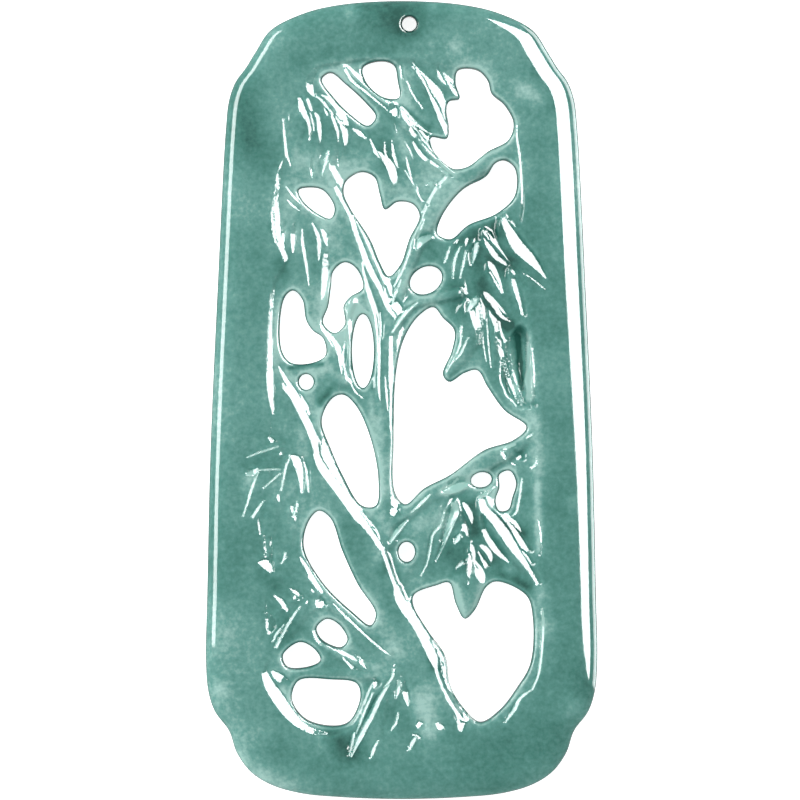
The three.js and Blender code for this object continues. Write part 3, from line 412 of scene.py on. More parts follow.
# Strokes of the carving tool: stations of x, y and the width of the facet
STROKES = {
    "upper_left": [
        [(-9.2, 21.84, 0.1), (-9.04, 20.14, 0.22), (-8.89, 18.97, 0.22), (-8.57, 18.12, 0.1)],
        [
            (-7.95, 23.47, 0.29), (-7.64, 22.47, 0.45), (-7.26, 21.69, 0.29), (-7.1, 20.91, 0.22),
            (-7.18, 20.14, 0.09),
        ],
        [(-7.1, 22.31, 0.09), (-6.87, 21.53, 0.14), (-6.79, 20.91, 0.09)],
        [
            (-6.87, 23.71, 0.09), (-6.17, 23.24, 0.18), (-5.55, 22.47, 0.18), (-5.01, 21.84, 0.14),
            (-4.38, 21.3, 0.09),
        ],
        [(-5.47, 22.31, 0.09), (-5.24, 21.69, 0.22), (-4.93, 20.76, 0.22), (-4.93, 20.14, 0.09)],
        [(-6.71, 25.65, 0.22), (-7.1, 24.95, 0.53), (-7.1, 24.17, 0.53), (-6.79, 23.55, 0.14)],
        [(-3.76, 21.07, 0.14), (-3.22, 20.68, 0.37), (-2.75, 20.29, 0.14)],
        [(-2.44, 20.29, 0.1), (-2.13, 19.52, 0.22), (-1.67, 18.74, 0.09)],
        [(-6.95, 18.74, 0.09), (-7.02, 17.96, 0.22), (-6.95, 17.27, 0.09)],
        [(-5.7, 19.36, 0.09), (-5.86, 18.59, 0.22), (-6.17, 17.42, 0.09)],
        [(-4.85, 19.75, 0.09), (-4.93, 18.97, 0.14), (-4.93, 18.2, 0.09)],
        [
            (-4.38, 25.72, 0.22), (-3.92, 24.87, 0.22), (-2.99, 24.09, 0.18), (-2.06, 23.32, 0.14),
            (-1.05, 22.47, 0.09),
        ],
        [(-0.89, 23.01, 0.22), (-0.66, 22.54, 0.61), (-0.43, 22.0, 0.22)],
    ],
    "crown": [
        [(0.89, 26.19, 0.09), (1.36, 25.34, 0.18), (1.82, 24.56, 0.18), (2.21, 23.78, 0.09)],
        [
            (2.06, 24.02, 0.09), (2.44, 23.24, 0.29), (2.91, 22.23, 0.37), (3.3, 21.22, 0.33),
            (3.53, 20.45, 0.14),
        ],
        [(0.43, 24.79, 0.09), (0.74, 24.02, 0.14), (1.2, 23.24, 0.14), (1.67, 22.62, 0.09)],
        [(2.83, 26.03, 0.14), (2.83, 25.57, 0.22), (3.07, 24.95, 0.22), (3.45, 24.48, 0.09)],
        [(3.38, 25.18, 0.09), (3.76, 24.48, 0.22), (4.15, 23.86, 0.22), (4.46, 23.47, 0.09)],
        [(-0.12, 25.96, 0.09), (-0.04, 25.41, 0.14), (0.04, 24.95, 0.09)],
        [(-0.12, 22.7, 0.1), (0.66, 21.69, 0.18), (1.82, 20.91, 0.14), (2.37, 20.6, 0.09)],
        [(0.66, 21.15, 0.22), (0.97, 20.6, 0.37), (1.36, 20.14, 0.14)],
    ],
    "right_arm": [
        [(-1.28, 20.14, 0.09), (-1.28, 19.36, 0.18), (-1.05, 18.43, 0.09)],
        [(-0.74, 20.14, 0.09), (-0.58, 18.97, 0.26), (-0.27, 18.04, 0.1)],
        [
            (0.89, 20.06, 0.14), (1.28, 19.36, 0.29), (1.82, 18.74, 0.29), (2.37, 18.43, 0.22),
            (2.99, 17.96, 0.22), (3.92, 17.27, 0.1),
        ],
        [(1.59, 19.9, 0.09), (2.06, 19.36, 0.14), (2.68, 18.74, 0.09)],
        [(0.35, 18.97, 0.09), (0.5, 18.2, 0.22), (0.81, 17.19, 0.09)],
        [(1.2, 16.8, 0.09), (1.36, 15.87, 0.14), (1.75, 15.33, 0.14), (2.06, 15.09, 0.09)],
        [(1.98, 16.65, 0.09), (2.37, 16.96, 0.18), (2.83, 16.57, 0.1)],
        [(1.75, 14.08, 0.09), (1.51, 13.31, 0.14), (1.2, 12.53, 0.09)],
        [(1.2, 11.76, 0.22), (1.59, 12.38, 0.53), (2.29, 12.69, 0.29)],
        [(0.74, 11.83, 0.09), (0.5, 11.14, 0.18), (0.12, 10.13, 0.14), (-0.58, 8.81, 0.09)],
        [
            (8.96, 21.3, 0.1), (8.96, 20.29, 0.18), (9.12, 19.36, 0.18), (9.27, 17.81, 0.18),
            (9.35, 16.26, 0.18), (9.35, 15.09, 0.18), (9.2, 13.85, 0.14),
        ],
    ],
    "right_fan": [
        [(3.76, 11.91, 0.1), (3.53, 11.21, 0.18), (3.38, 10.67, 0.09)],
        [(4.54, 11.91, 0.1), (4.23, 11.21, 0.18), (4.07, 10.44, 0.18), (4.0, 9.43, 0.09)],
        [(5.01, 11.6, 0.1), (4.85, 10.83, 0.18), (4.54, 9.43, 0.09)],
        [(5.86, 12.22, 0.22), (5.7, 11.6, 0.45), (5.47, 10.51, 0.14)],
        [(6.32, 13.15, 0.09), (6.56, 12.84, 0.18), (6.79, 12.45, 0.09)],
        [(6.4, 12.53, 0.1), (6.87, 11.76, 0.37), (7.49, 10.98, 0.37), (8.42, 10.36, 0.1)],
        [
            (7.88, 14.16, 0.22), (8.42, 13.0, 0.68), (9.04, 11.91, 0.92), (9.97, 10.98, 0.76),
            (10.75, 10.05, 0.37), (11.21, 9.43, 0.1),
        ],
        [(9.43, 9.82, 0.09), (10.2, 9.35, 0.14), (11.14, 8.57, 0.09)],
        [(6.87, 9.97, 0.09), (7.33, 9.12, 0.18), (7.8, 8.26, 0.09)],
    ],
    "right_drop": [
        [(5.08, 6.87, 0.14), (5.47, 7.49, 0.53), (5.94, 7.95, 0.37)],
        [(5.86, 7.26, 0.29), (5.94, 6.17, 0.29), (5.94, 4.31, 0.22)],
        [(6.17, 7.72, 0.14), (6.4, 6.79, 0.29), (6.32, 6.01, 0.14)],
        [(6.56, 7.95, 0.1), (7.33, 7.18, 0.29), (7.72, 6.56, 0.29), (8.42, 6.09, 0.1)],
        [
            (7.33, 6.01, 0.29), (7.49, 4.85, 0.37), (7.8, 3.38, 0.37), (8.34, 1.59, 0.29),
            (9.12, -0.35, 0.14),
        ],
        [(8.26, 4.85, 0.22), (8.34, 3.38, 0.29), (8.73, 1.9, 0.22), (9.51, -0.19, 0.1)],
        [(8.65, 9.43, 0.29), (8.89, 8.5, 0.37), (9.43, 6.56, 0.14)],
        [(4.62, 5.78, 0.09), (4.54, 4.38, 0.18), (4.07, 3.22, 0.14), (3.45, 2.13, 0.09)],
        [(5.16, 4.85, 0.09), (4.62, 3.69, 0.18), (4.07, 2.99, 0.09)],
        [(6.4, 6.4, 0.09), (6.32, 4.85, 0.14), (6.56, 3.07, 0.09)],
        [(6.63, 6.4, 0.09), (6.79, 3.92, 0.14), (6.95, 2.52, 0.1)],
        [(10.13, 4.07, 0.1), (10.28, 2.29, 0.14), (10.28, 0.74, 0.18), (10.13, -0.35, 0.22)],
        [(1.51, 8.42, 0.09), (2.29, 8.57, 0.14), (2.99, 8.65, 0.09)],
    ],
    "left_wall": [
        [
            (-9.58, 17.65, 0.14), (-9.66, 16.65, 0.29), (-9.74, 15.48, 0.37), (-9.66, 14.32, 0.45),
            (-9.58, 13.15, 0.45), (-9.35, 11.99, 0.37), (-9.12, 10.98, 0.14),
        ],
        [
            (-9.89, 9.58, 0.22), (-10.05, 8.34, 0.26), (-10.13, 6.95, 0.29), (-10.2, 5.01, 0.37),
            (-10.2, 3.45, 0.45), (-10.2, 1.67, 0.53), (-10.13, 0.35, 0.45), (-9.97, -1.13, 0.1),
        ],
        [(-8.96, 16.57, 0.09), (-8.5, 15.95, 0.18), (-7.88, 15.25, 0.09)],
        [(-8.89, 15.56, 0.09), (-8.42, 15.09, 0.18), (-7.95, 14.71, 0.09)],
        [(-9.04, 13.77, 0.1), (-9.2, 12.77, 0.26), (-9.12, 11.6, 0.1)],
        [(-8.34, 13.77, 0.14), (-8.42, 12.77, 0.37), (-8.42, 11.45, 0.14)],
        [(-7.72, 13.31, 0.1), (-7.64, 11.99, 0.26), (-7.41, 10.67, 0.22), (-7.18, 8.89, 0.09)],
        [(-6.95, 13.77, 0.09), (-6.63, 13.15, 0.26), (-6.4, 12.38, 0.29), (-6.4, 10.83, 0.1)],
        [(-6.17, 13.23, 0.22), (-5.94, 12.69, 0.37), (-5.78, 11.99, 0.14)],
        [(-5.86, 11.45, 0.29), (-5.94, 9.66, 0.53), (-6.17, 7.88, 0.22)],
    ],
    "left_arm": [
        [
            (-5.16, 16.57, 0.29), (-4.54, 15.48, 0.37), (-3.92, 14.24, 0.37), (-3.61, 13.23, 0.37),
            (-3.3, 12.38, 0.37), (-2.99, 11.52, 0.45), (-2.68, 10.67, 0.45), (-2.29, 9.82, 0.45),
            (-1.59, 8.5, 0.37), (-1.05, 6.95, 0.22),
        ],
        [(-1.36, 8.81, 0.14), (-1.13, 7.72, 0.37), (-0.74, 6.79, 0.37), (-0.43, 6.32, 0.14)],
        [(-1.05, 7.88, 0.22), (-0.43, 7.26, 0.68), (0.12, 6.48, 0.29)],
        [(-0.27, 8.65, 0.09), (-0.58, 8.03, 0.22), (-0.74, 7.49, 0.09)],
        [(1.2, 7.57, 0.1), (0.12, 6.56, 0.29), (-0.74, 5.24, 0.14)],
        [(-0.81, 5.01, 0.29), (-0.81, 3.07, 0.37), (-0.81, 0.74, 0.37), (-0.81, -2.21, 0.22)],
        [(-1.28, 1.9, 0.09), (-1.13, 0.35, 0.22), (-1.05, -0.81, 0.09)],
        [(-1.67, 6.79, 0.09), (-1.59, 5.78, 0.14), (-1.59, 4.85, 0.09)],
        [(-6.4, 5.94, 0.09), (-5.94, 5.24, 0.18), (-5.32, 4.15, 0.09)],
        [
            (-4.38, 4.62, 0.09), (-4.54, 3.45, 0.18), (-4.38, 2.29, 0.18), (-4.0, 1.36, 0.14),
            (-3.53, 0.58, 0.14), (-2.99, 0.12, 0.09),
        ],
    ],
    "trunk": [
        [
            (-9.51, 2.6, 0.14), (-8.96, 1.51, 0.37), (-8.26, 0.27, 0.61), (-7.72, -0.97, 0.61),
            (-7.18, -2.06, 0.61), (-6.79, -3.14, 0.61), (-6.63, -4.38, 0.61), (-6.01, -5.47, 0.68),
            (-5.08, -6.71, 0.68), (-4.07, -8.11, 0.68), (-3.07, -9.51, 0.68), (-2.13, -10.75, 0.53),
            (-1.44, -11.68, 0.29),
        ],
        [
            (-5.94, -2.83, 0.29), (-5.94, -3.92, 0.61), (-5.47, -5.01, 0.68), (-4.54, -6.32, 0.61),
            (-3.69, -7.72, 0.45), (-3.07, -8.57, 0.22),
        ],
        [(-7.88, 0.43, 0.1), (-7.49, -0.35, 0.37), (-7.1, -1.2, 0.14)],
        [
            (-0.43, -14.47, 0.37), (-0.19, -15.33, 0.68), (0.43, -16.49, 0.68), (1.2, -17.81, 0.68),
            (1.98, -19.05, 0.68), (2.44, -19.98, 0.68), (2.68, -20.84, 0.22),
        ],
        [(0.43, -15.64, 0.22), (1.28, -16.88, 0.45), (2.21, -18.27, 0.37), (2.75, -19.13, 0.22)],
        [
            (2.91, -19.44, 0.22), (3.3, -20.21, 0.45), (3.45, -21.15, 0.45), (3.76, -22.15, 0.37),
            (4.31, -23.16, 0.37), (5.08, -24.25, 0.29), (5.78, -25.03, 0.14),
        ],
        [(3.07, -22.23, 0.1), (3.69, -23.32, 0.22), (4.31, -24.33, 0.29), (4.77, -25.18, 0.68)],
        [(4.38, -24.87, 0.29), (4.77, -25.41, 0.84), (5.39, -25.49, 0.22)],
    ],
    "lower_left": [
        [(-10.36, -2.83, 0.14), (-9.89, -3.3, 0.37), (-9.51, -3.38, 0.14)],
        [(-11.99, -4.46, 0.09), (-10.83, -4.0, 0.14), (-9.58, -3.61, 0.09)],
        [(-12.07, -5.7, 0.09), (-11.14, -5.47, 0.1), (-10.2, -5.39, 0.09), (-9.43, -5.39, 0.09)],
        [(-9.43, -5.7, 0.09), (-10.05, -6.25, 0.1), (-10.67, -6.79, 0.09)],
        [(-8.11, -7.88, 0.1), (-8.19, -8.5, 0.22), (-8.42, -9.04, 0.09)],
        [(-10.2, -1.67, 0.09), (-10.2, -2.37, 0.1), (-10.2, -2.99, 0.09)],
        [(-11.14, -9.12, 0.1), (-11.06, -9.82, 0.18), (-10.98, -10.44, 0.09)],
        [(-8.73, -4.31, 0.22), (-8.19, -4.69, 0.68), (-7.88, -5.63, 0.53), (-7.72, -7.18, 0.14)],
        [(-8.65, -4.38, 0.1), (-8.96, -5.16, 0.18), (-9.35, -7.02, 0.09)],
        [(-7.72, -4.38, 0.09), (-7.41, -5.47, 0.22), (-7.18, -7.18, 0.09)],
        [(-11.14, -5.63, 0.09), (-11.6, -6.79, 0.22), (-11.91, -7.8, 0.18), (-12.3, -9.04, 0.1)],
        [(-12.07, -5.78, 0.14), (-11.52, -5.63, 0.45), (-11.14, -5.32, 0.14)],
        [(-10.67, -7.8, 0.09), (-11.14, -8.42, 0.22), (-11.6, -9.12, 0.22)],
        [(-10.67, -10.44, 0.1), (-10.59, -11.68, 0.22), (-10.59, -12.45, 0.22)],
        [(-11.06, -12.61, 0.22), (-10.51, -12.77, 0.76), (-10.05, -13.39, 0.29)],
        [(-10.2, -10.59, 0.14), (-10.13, -11.83, 0.22), (-10.13, -12.61, 0.14)],
        [(-9.04, -11.83, 0.14), (-9.12, -12.3, 0.22), (-9.35, -12.69, 0.09)],
        [(-8.65, -14.63, 0.1), (-8.11, -15.02, 0.29), (-7.57, -15.4, 0.09)],
        [(-9.89, -15.17, 0.1), (-9.35, -15.64, 0.37), (-8.81, -16.41, 0.22)],
        [(-10.59, -15.56, 0.1), (-10.51, -16.72, 0.22), (-10.36, -17.89, 0.29)],
        [(-10.13, -16.72, 0.09), (-10.05, -17.42, 0.37), (-10.28, -18.12, 0.22)],
        [(-7.88, -16.02, 0.09), (-8.81, -17.42, 0.22), (-9.74, -19.21, 0.22)],
        [(-9.12, -17.42, 0.09), (-9.74, -18.2, 0.22), (-9.97, -18.74, 0.1)],
        [(-7.88, -12.14, 0.09), (-7.33, -13.08, 0.29), (-6.63, -14.32, 0.37), (-6.09, -15.02, 0.22)],
        [(-6.48, -15.4, 0.45), (-6.32, -15.79, 0.68), (-6.01, -16.02, 0.29)],
        [(-5.32, -15.79, 0.1), (-4.0, -17.11, 0.18), (-2.44, -18.59, 0.18), (-0.89, -19.83, 0.09)],
        [(-6.87, -17.89, 0.22), (-6.48, -18.74, 0.22), (-5.86, -19.21, 0.09)],
        [(-4.54, -19.98, 0.1), (-3.84, -20.76, 0.26), (-3.14, -21.15, 0.22), (-2.44, -21.22, 0.09)],
        [(-3.69, -19.75, 0.09), (-3.22, -20.21, 0.22), (-2.75, -20.84, 0.1)],
    ],
    "foot": [
        [
            (-10.67, -21.07, 0.45), (-10.28, -22.08, 0.76), (-9.58, -23.16, 0.92), (-8.81, -24.25, 0.84),
            (-7.88, -25.18, 0.61), (-6.95, -25.65, 0.37), (-5.86, -25.88, 0.1),
        ],
        [(-10.05, -21.07, 0.22), (-9.43, -21.61, 0.61), (-8.65, -22.0, 0.22)],
        [(-0.97, -22.08, 0.1), (-1.67, -23.09, 0.37), (-2.6, -24.95, 0.45), (-4.0, -27.66, 0.29)],
        [(-2.21, -22.7, 0.09), (-2.83, -24.09, 0.18), (-3.53, -25.88, 0.09)],
        [(-0.66, -20.84, 0.09), (-0.74, -21.53, 0.18), (-1.36, -22.31, 0.09)],
        [(-3.69, -25.8, 0.14), (-3.84, -26.58, 0.29), (-4.07, -27.59, 0.14)],
        [(-1.82, -26.42, 0.09), (-2.13, -27.04, 0.26), (-2.44, -27.9, 0.1)],
        [(-0.19, -21.77, 0.22), (-0.27, -22.54, 0.29), (-0.43, -23.09, 0.09)],
        [(0.12, -21.92, 0.22), (0.27, -22.7, 0.45), (0.5, -23.71, 0.14)],
        [(-0.27, -24.25, 0.09), (-0.43, -25.03, 0.18), (-0.81, -25.65, 0.09)],
        [(0.89, -25.96, 0.14), (1.28, -26.19, 0.29), (1.51, -26.35, 0.1)],
        [(1.13, -26.11, 0.14), (0.81, -26.66, 0.33), (0.58, -27.2, 0.1)],
        [(1.2, -25.1, 0.37), (1.51, -25.34, 0.61), (1.75, -25.57, 0.29)],
        [(2.68, -25.03, 0.22), (3.07, -25.49, 0.53), (3.3, -25.72, 0.22)],
        [(-2.13, -21.61, 0.14), (-2.06, -22.0, 0.37), (-2.13, -22.39, 0.14)],
    ],
    "low_arm": [
        [(4.38, -6.09, 0.09), (3.92, -6.56, 0.14), (3.3, -7.02, 0.14)],
        [(3.22, -7.18, 0.22), (3.76, -7.02, 0.53), (4.62, -6.71, 0.53), (5.16, -6.56, 0.22)],
        [(2.21, -7.33, 0.1), (1.59, -7.95, 0.26), (0.81, -8.65, 0.1)],
        [(0.5, -9.27, 0.1), (-0.27, -10.13, 0.33), (-0.89, -11.06, 0.14)],
        [(-0.81, -8.42, 0.22), (-0.5, -8.81, 0.61), (-0.04, -9.04, 0.22)],
        [
            (3.38, -8.57, 0.09), (3.07, -9.66, 0.18), (2.44, -10.44, 0.18), (2.21, -11.52, 0.18),
            (1.98, -12.61, 0.14), (1.51, -13.62, 0.09),
        ],
        [(4.0, -7.95, 0.29), (4.15, -8.57, 0.61), (3.76, -9.66, 0.45), (3.3, -10.9, 0.22)],
        [(4.15, -9.35, 0.09), (3.45, -10.83, 0.18), (2.68, -12.45, 0.1)],
        [(4.62, -8.57, 0.14), (4.85, -9.66, 0.37), (5.16, -10.59, 0.14)],
        [(4.54, -10.36, 0.1), (4.38, -10.75, 0.37), (4.15, -11.14, 0.14)],
        [
            (6.17, -7.57, 0.45), (6.4, -8.42, 0.61), (7.18, -9.27, 0.68), (7.95, -10.28, 0.76),
            (8.65, -11.37, 0.68), (9.43, -12.45, 0.45), (10.13, -13.54, 0.29), (10.59, -14.32, 0.22),
        ],
        [(6.17, -9.04, 0.18), (6.4, -10.13, 0.37), (7.26, -11.6, 0.45), (8.34, -12.61, 0.14)],
        [(7.72, -8.96, 0.14), (8.57, -9.89, 0.29), (9.12, -10.83, 0.45), (9.82, -11.76, 0.29)],
        [(9.35, -11.68, 0.09), (9.82, -12.3, 0.18), (10.05, -12.69, 0.09)],
        [(7.26, -6.71, 0.1), (6.56, -7.26, 0.22), (6.01, -7.57, 0.22)],
        [(5.24, -11.91, 0.14), (5.32, -12.61, 0.37), (5.16, -14.32, 0.14)],
        [(5.94, -11.76, 0.09), (6.32, -12.45, 0.22), (6.63, -13.0, 0.37)],
        [(4.77, -12.53, 0.09), (4.54, -12.84, 0.14), (4.23, -13.08, 0.09)],
        [(9.35, -6.09, 0.09), (9.12, -7.8, 0.18), (8.89, -8.73, 0.18), (8.57, -9.04, 0.09)],
    ],
    "right_border": [
        [(8.81, -3.45, 0.1), (8.19, -3.69, 0.22), (7.8, -4.07, 0.29)],
        [(7.8, -4.0, 0.29), (7.95, -4.38, 0.29), (8.11, -4.62, 0.1)],
        [(8.5, -4.85, 0.09), (8.81, -5.08, 0.14), (9.12, -5.16, 0.09)],
        [(10.51, -4.38, 0.09), (10.44, -4.93, 0.18), (10.05, -5.32, 0.14)],
        [(10.59, -9.27, 0.09), (10.75, -9.97, 0.14), (10.83, -11.21, 0.18), (10.67, -12.07, 0.18)],
        [(8.81, -4.15, 0.22), (9.04, -4.38, 0.53), (9.27, -4.69, 0.22)],
        [(9.66, -2.99, 0.09), (9.97, -2.75, 0.18), (10.2, -2.6, 0.09)],
        [
            (10.9, -16.18, 0.1), (10.98, -17.42, 0.18), (10.83, -19.9, 0.18), (10.59, -21.38, 0.18),
            (10.13, -22.47, 0.14),
        ],
        [(9.97, -22.54, 0.1), (9.2, -23.16, 0.22), (8.73, -24.02, 0.29), (8.03, -25.03, 0.1)],
    ],
}

# Lighter and darker streaks, partly the stone's own patches and partly painted light and shade: painted
# highlights on cuts and walls and painted shade in creases and hollows; both ends x and y, radius and amount
SPOTS_AND_PAINTED_LIGHT = [
    (-4.0, 30.1, -4.0, 30.1, 0.62, 0.35), (2.4, 30.5, 2.4, 30.5, 0.47, 0.25),
    (4.1, 27.4, 4.1, 27.4, 0.54, 0.25), (9.4, 24.0, 10.6, 23.4, 0.70, 0.35),
    (-13.0, 7.9, -13.0, 7.9, 0.93, 0.20), (13.4, -23.9, 13.4, -23.9, 0.78, 0.30),
    (11.4, -17.6, 11.4, -17.6, 0.62, 0.25), (-6.3, -26.6, -6.3, -26.6, 0.78, 0.20),
    (10.5, -14.6, 10.7, -14.8, 0.62, 0.30), (-14.1, -22.5, -14.1, -22.5, 0.62, 0.20),
    (13.2, -8.0, 13.2, -8.0, 0.62, 0.25), (-11.8, -6.1, -11.8, -6.1, 0.70, 0.30),
    (8.3, -13.3, 8.3, -13.3, 0.47, 0.35), (-0.7, 29.3, -0.1, 29.1, 1.86, -0.42),
    (-2.3, 30.4, 4.5, 30.5, 1.55, -0.20), (-5.5, 26.8, -1.3, 27.0, 0.78, -0.20),
    (-7.9, 26.3, -6.3, 26.2, 0.78, -0.15), (-12.3, 22.9, -12.1, 21.5, 1.55, -0.42),
    (-12.0, 19.4, -10.4, 18.6, 1.55, -0.25), (-11.6, 24.8, -11.6, 24.8, 1.24, -0.20),
    (0.5, 29.1, 0.6, 29.1, 0.78, -1.10), (10.0, 28.5, 10.6, 28.1, 0.62, -0.30),
    (6.2, 28.8, 8.0, 27.9, 2.64, 0.15), (12.3, 21.7, 12.8, 12.4, 0.93, 0.12),
    (13.5, 21.7, 13.9, 13.9, 0.62, 0.20), (-12.5, -10.9, -12.5, -10.9, 2.33, -0.08),
    (-13.9, -12.5, -13.9, -14.0, 1.40, -0.10), (-14.4, -18.7, -13.9, -23.3, 1.55, 0.10),
    (-10.8, -29.4, -9.0, -30.0, 1.09, 0.35), (-12.5, -28.1, -12.5, -28.1, 0.93, 0.25),
    (13.7, -12.5, 14.5, -20.2, 1.55, -0.04), (-1.7, -28.8, 10.7, -28.4, 2.33, -0.08),
    (-13.3, -26.4, -10.8, -29.5, 1.24, 0.15), (-7.1, 20.9, -5.2, 20.8, 0.93, -0.15),
    (-1.3, 19.4, -0.9, 18.2, 0.70, -0.30), (2.2, 12.4, 2.4, 11.4, 0.70, -0.25),
    (-6.3, 25.6, -4.4, 25.7, 1.09, 0.30), (0.3, 25.6, 0.3, 23.6, 0.93, 0.20),
    (0.7, 23.9, 3.0, 24.8, 0.93, 0.10), (5.3, 25.9, 6.5, 25.6, 1.09, 0.20),
    (-7.9, 18.7, -5.5, 17.8, 1.40, 0.20), (-3.8, 17.8, -2.6, 18.6, 0.93, 0.20),
    (3.0, 18.2, 3.9, 15.5, 1.55, 0.28), (1.4, 16.6, 1.8, 12.8, 1.40, 0.22),
    (-1.3, 16.3, -0.1, 15.9, 1.16, 0.30), (0.0, 22.8, 2.1, 21.1, 0.16, -0.35),
    (0.8, 21.2, 2.0, 20.7, 0.31, -0.35), (0.3, 22.9, 1.4, 21.8, 0.70, 0.30),
    (-0.1, 20.9, 0.2, 19.0, 0.62, 0.30), (4.4, 12.4, 7.5, 13.3, 0.93, -0.50),
    (6.1, 10.7, 8.0, 10.7, 1.09, -0.40), (4.2, 8.9, 4.7, 6.9, 0.85, -0.35),
    (6.2, 8.9, 6.7, 7.4, 0.62, -0.50), (7.6, 6.2, 8.4, 5.8, 0.47, -0.80),
    (6.6, 8.0, 7.6, 6.3, 0.19, -0.80), (9.2, 11.2, 10.4, 10.7, 0.78, -0.15),
    (8.6, 9.0, 9.0, 8.3, 0.54, 0.30), (9.0, 4.9, 9.2, 2.9, 0.20, -0.90),
    (9.2, 2.9, 9.4, 0.9, 0.19, -0.80), (9.7, 4.8, 9.9, 0.3, 0.39, 0.45), (8.6, 3.8, 8.9, 0.7, 0.31, 0.35),
    (3.0, 3.1, 6.1, 2.9, 0.93, 0.20), (8.4, 0.3, 10.0, -1.6, 0.78, 0.15),
    (10.4, -1.6, 10.5, -5.5, 0.70, 0.30), (10.5, -6.6, 10.7, -11.5, 0.39, 0.45),
    (-9.0, 16.3, -9.2, 12.4, 0.78, 0.15), (-10.0, 13.5, -9.7, 12.8, 0.39, -0.30),
    (-9.5, 10.7, -9.3, 10.0, 0.54, -0.30), (-6.3, 14.3, -5.2, 12.0, 0.70, 0.20),
    (-7.9, 13.5, -7.9, 11.6, 0.54, 0.10), (-8.7, 2.5, -6.2, 2.8, 0.17, -0.70),
    (-8.2, 2.1, -7.9, 1.8, 0.31, -0.30), (-8.7, 1.8, -5.9, 2.4, 0.62, 0.35),
    (-7.9, 3.7, -6.2, 3.7, 0.47, 0.10), (-5.2, 1.2, -6.3, -0.2, 0.31, -0.50),
    (-5.2, 7.3, -4.4, 5.0, 1.55, 0.45), (-6.9, 5.4, -6.3, 3.8, 0.70, 0.30),
    (-9.8, 7.7, -9.8, 1.5, 0.39, 0.20), (-5.2, 1.1, -4.4, 1.7, 0.70, 0.30),
    (-4.0, 7.7, -2.8, 6.3, 0.78, 0.30), (-7.1, 0.3, -5.9, -2.0, 0.70, 0.30),
    (-1.8, -1.6, -1.4, -7.0, 0.70, 0.25), (-2.3, 0.3, -2.0, -5.5, 0.39, 0.20),
    (-1.7, -9.0, -1.0, -10.1, 0.78, 0.25), (-6.5, -3.5, -6.2, -5.1, 0.39, -0.30),
    (-2.6, -9.0, -1.4, -13.6, 0.62, 0.25), (-2.8, -15.6, -0.5, -19.4, 0.78, 0.20),
    (-4.4, -9.4, -3.8, -11.7, 0.47, -0.10), (-1.2, -12.8, -1.4, -13.4, 0.47, -0.50),
    (2.2, -19.8, 2.5, -20.8, 0.39, -0.50), (1.6, -23.3, 2.2, -25.5, 0.93, 0.50),
    (-0.1, -12.5, 0.8, -13.2, 0.78, 0.10), (-10.8, -2.4, -9.0, -3.1, 0.78, -0.10),
    (-7.9, -2.4, -7.6, -4.3, 0.47, 0.25), (-10.2, -9.4, -7.9, -11.3, 1.24, -0.15),
    (-7.9, -16.3, -4.4, -16.5, 1.40, 0.10), (-8.7, -17.5, -9.3, -19.1, 0.78, -0.20),
    (-4.8, -18.7, -2.1, -20.6, 0.93, 0.25), (-10.8, -13.6, -9.8, -14.4, 0.62, -0.25),
    (-11.9, -5.1, -9.8, -4.7, 0.70, -0.15), (-9.2, -19.8, -8.7, -20.8, 0.62, 0.20),
    (-5.2, -26.0, -4.0, -27.2, 1.01, -0.50), (-3.1, -25.6, -2.1, -23.3, 0.47, -0.30),
    (-2.3, -26.8, -0.9, -26.0, 0.93, 0.15), (-9.2, -22.5, -8.8, -23.3, 0.39, 0.30),
    (3.9, -11.8, 6.9, -12.1, 1.16, -0.35), (5.3, -8.2, 5.6, -10.1, 0.62, -0.50),
    (6.9, -9.0, 9.4, -10.4, 0.47, -0.50), (8.0, -13.6, 9.8, -14.6, 0.54, -0.50),
    (5.0, -12.8, 4.5, -13.2, 0.39, -0.30), (6.1, -4.9, 5.3, -5.5, 0.78, 0.12),
    (7.6, -4.5, 8.8, -4.9, 0.62, 0.10), (3.3, -7.1, 5.0, -6.6, 0.35, 0.60),
    (7.2, -7.0, 6.9, -8.2, 0.39, 0.35), (4.2, -14.4, 4.7, -16.3, 0.31, 0.30),
    (6.3, -14.0, 5.9, -15.9, 0.31, 0.30), (10.6, -15.6, 10.7, -21.0, 0.39, 0.15),
    (11.1, -15.6, 11.4, -20.2, 0.70, 0.15), (1.0, -9.7, 3.0, -9.2, 0.93, 0.25),
]

# A deep blind hollow in the right border: its lip is a share of the oval, where its wall starts
HOLLOW = {
    "x": 8.9, "y": 2.9, "half_width": 0.95, "half_length": 3.1, "turn": -6, "depth": 1.7,
    "lip": 1.08, "steepness": 2.6, "margin": 0.6,
}

Blade = namedtuple("Blade", "base_x base_y tip_x tip_y width bow")


def spline(points, steps, closed):
    """A smooth curve through the points, with the same number of steps between each two."""
    knots = np.array(points, float)
    count = len(knots)
    if closed:
        padded = np.vstack([knots[-1], knots, knots[0], knots[1]])
    else:
        padded = np.vstack([2 * knots[0] - knots[1], knots, 2 * knots[-1] - knots[-2]])
    spans = count if closed else count - 1
    t = np.linspace(0, 1, steps, endpoint=False)[:, None]
    pieces = []
    for i in range(spans):
        p0, p1, p2, p3 = padded[i:i + 4]
        d0, d1, d2 = (
            max(np.linalg.norm((after - start)[:2]) ** 0.5, 1e-4)
            for start, after in ((p0, p1), (p1, p2), (p2, p3))
        )
        leave = ((p1 - p0) / d0 - (p2 - p0) / (d0 + d1) + (p2 - p1) / d1) * d1
        arrive = ((p2 - p1) / d1 - (p3 - p1) / (d1 + d2) + (p3 - p2) / d2) * d1
        pieces.append(
            p1 + leave * t + (3 * (p2 - p1) - 2 * leave - arrive) * t ** 2
            + (2 * (p1 - p2) + leave + arrive) * t ** 3
        )
    if not closed:
        pieces.append(knots[-1:])
    return np.vstack(pieces)


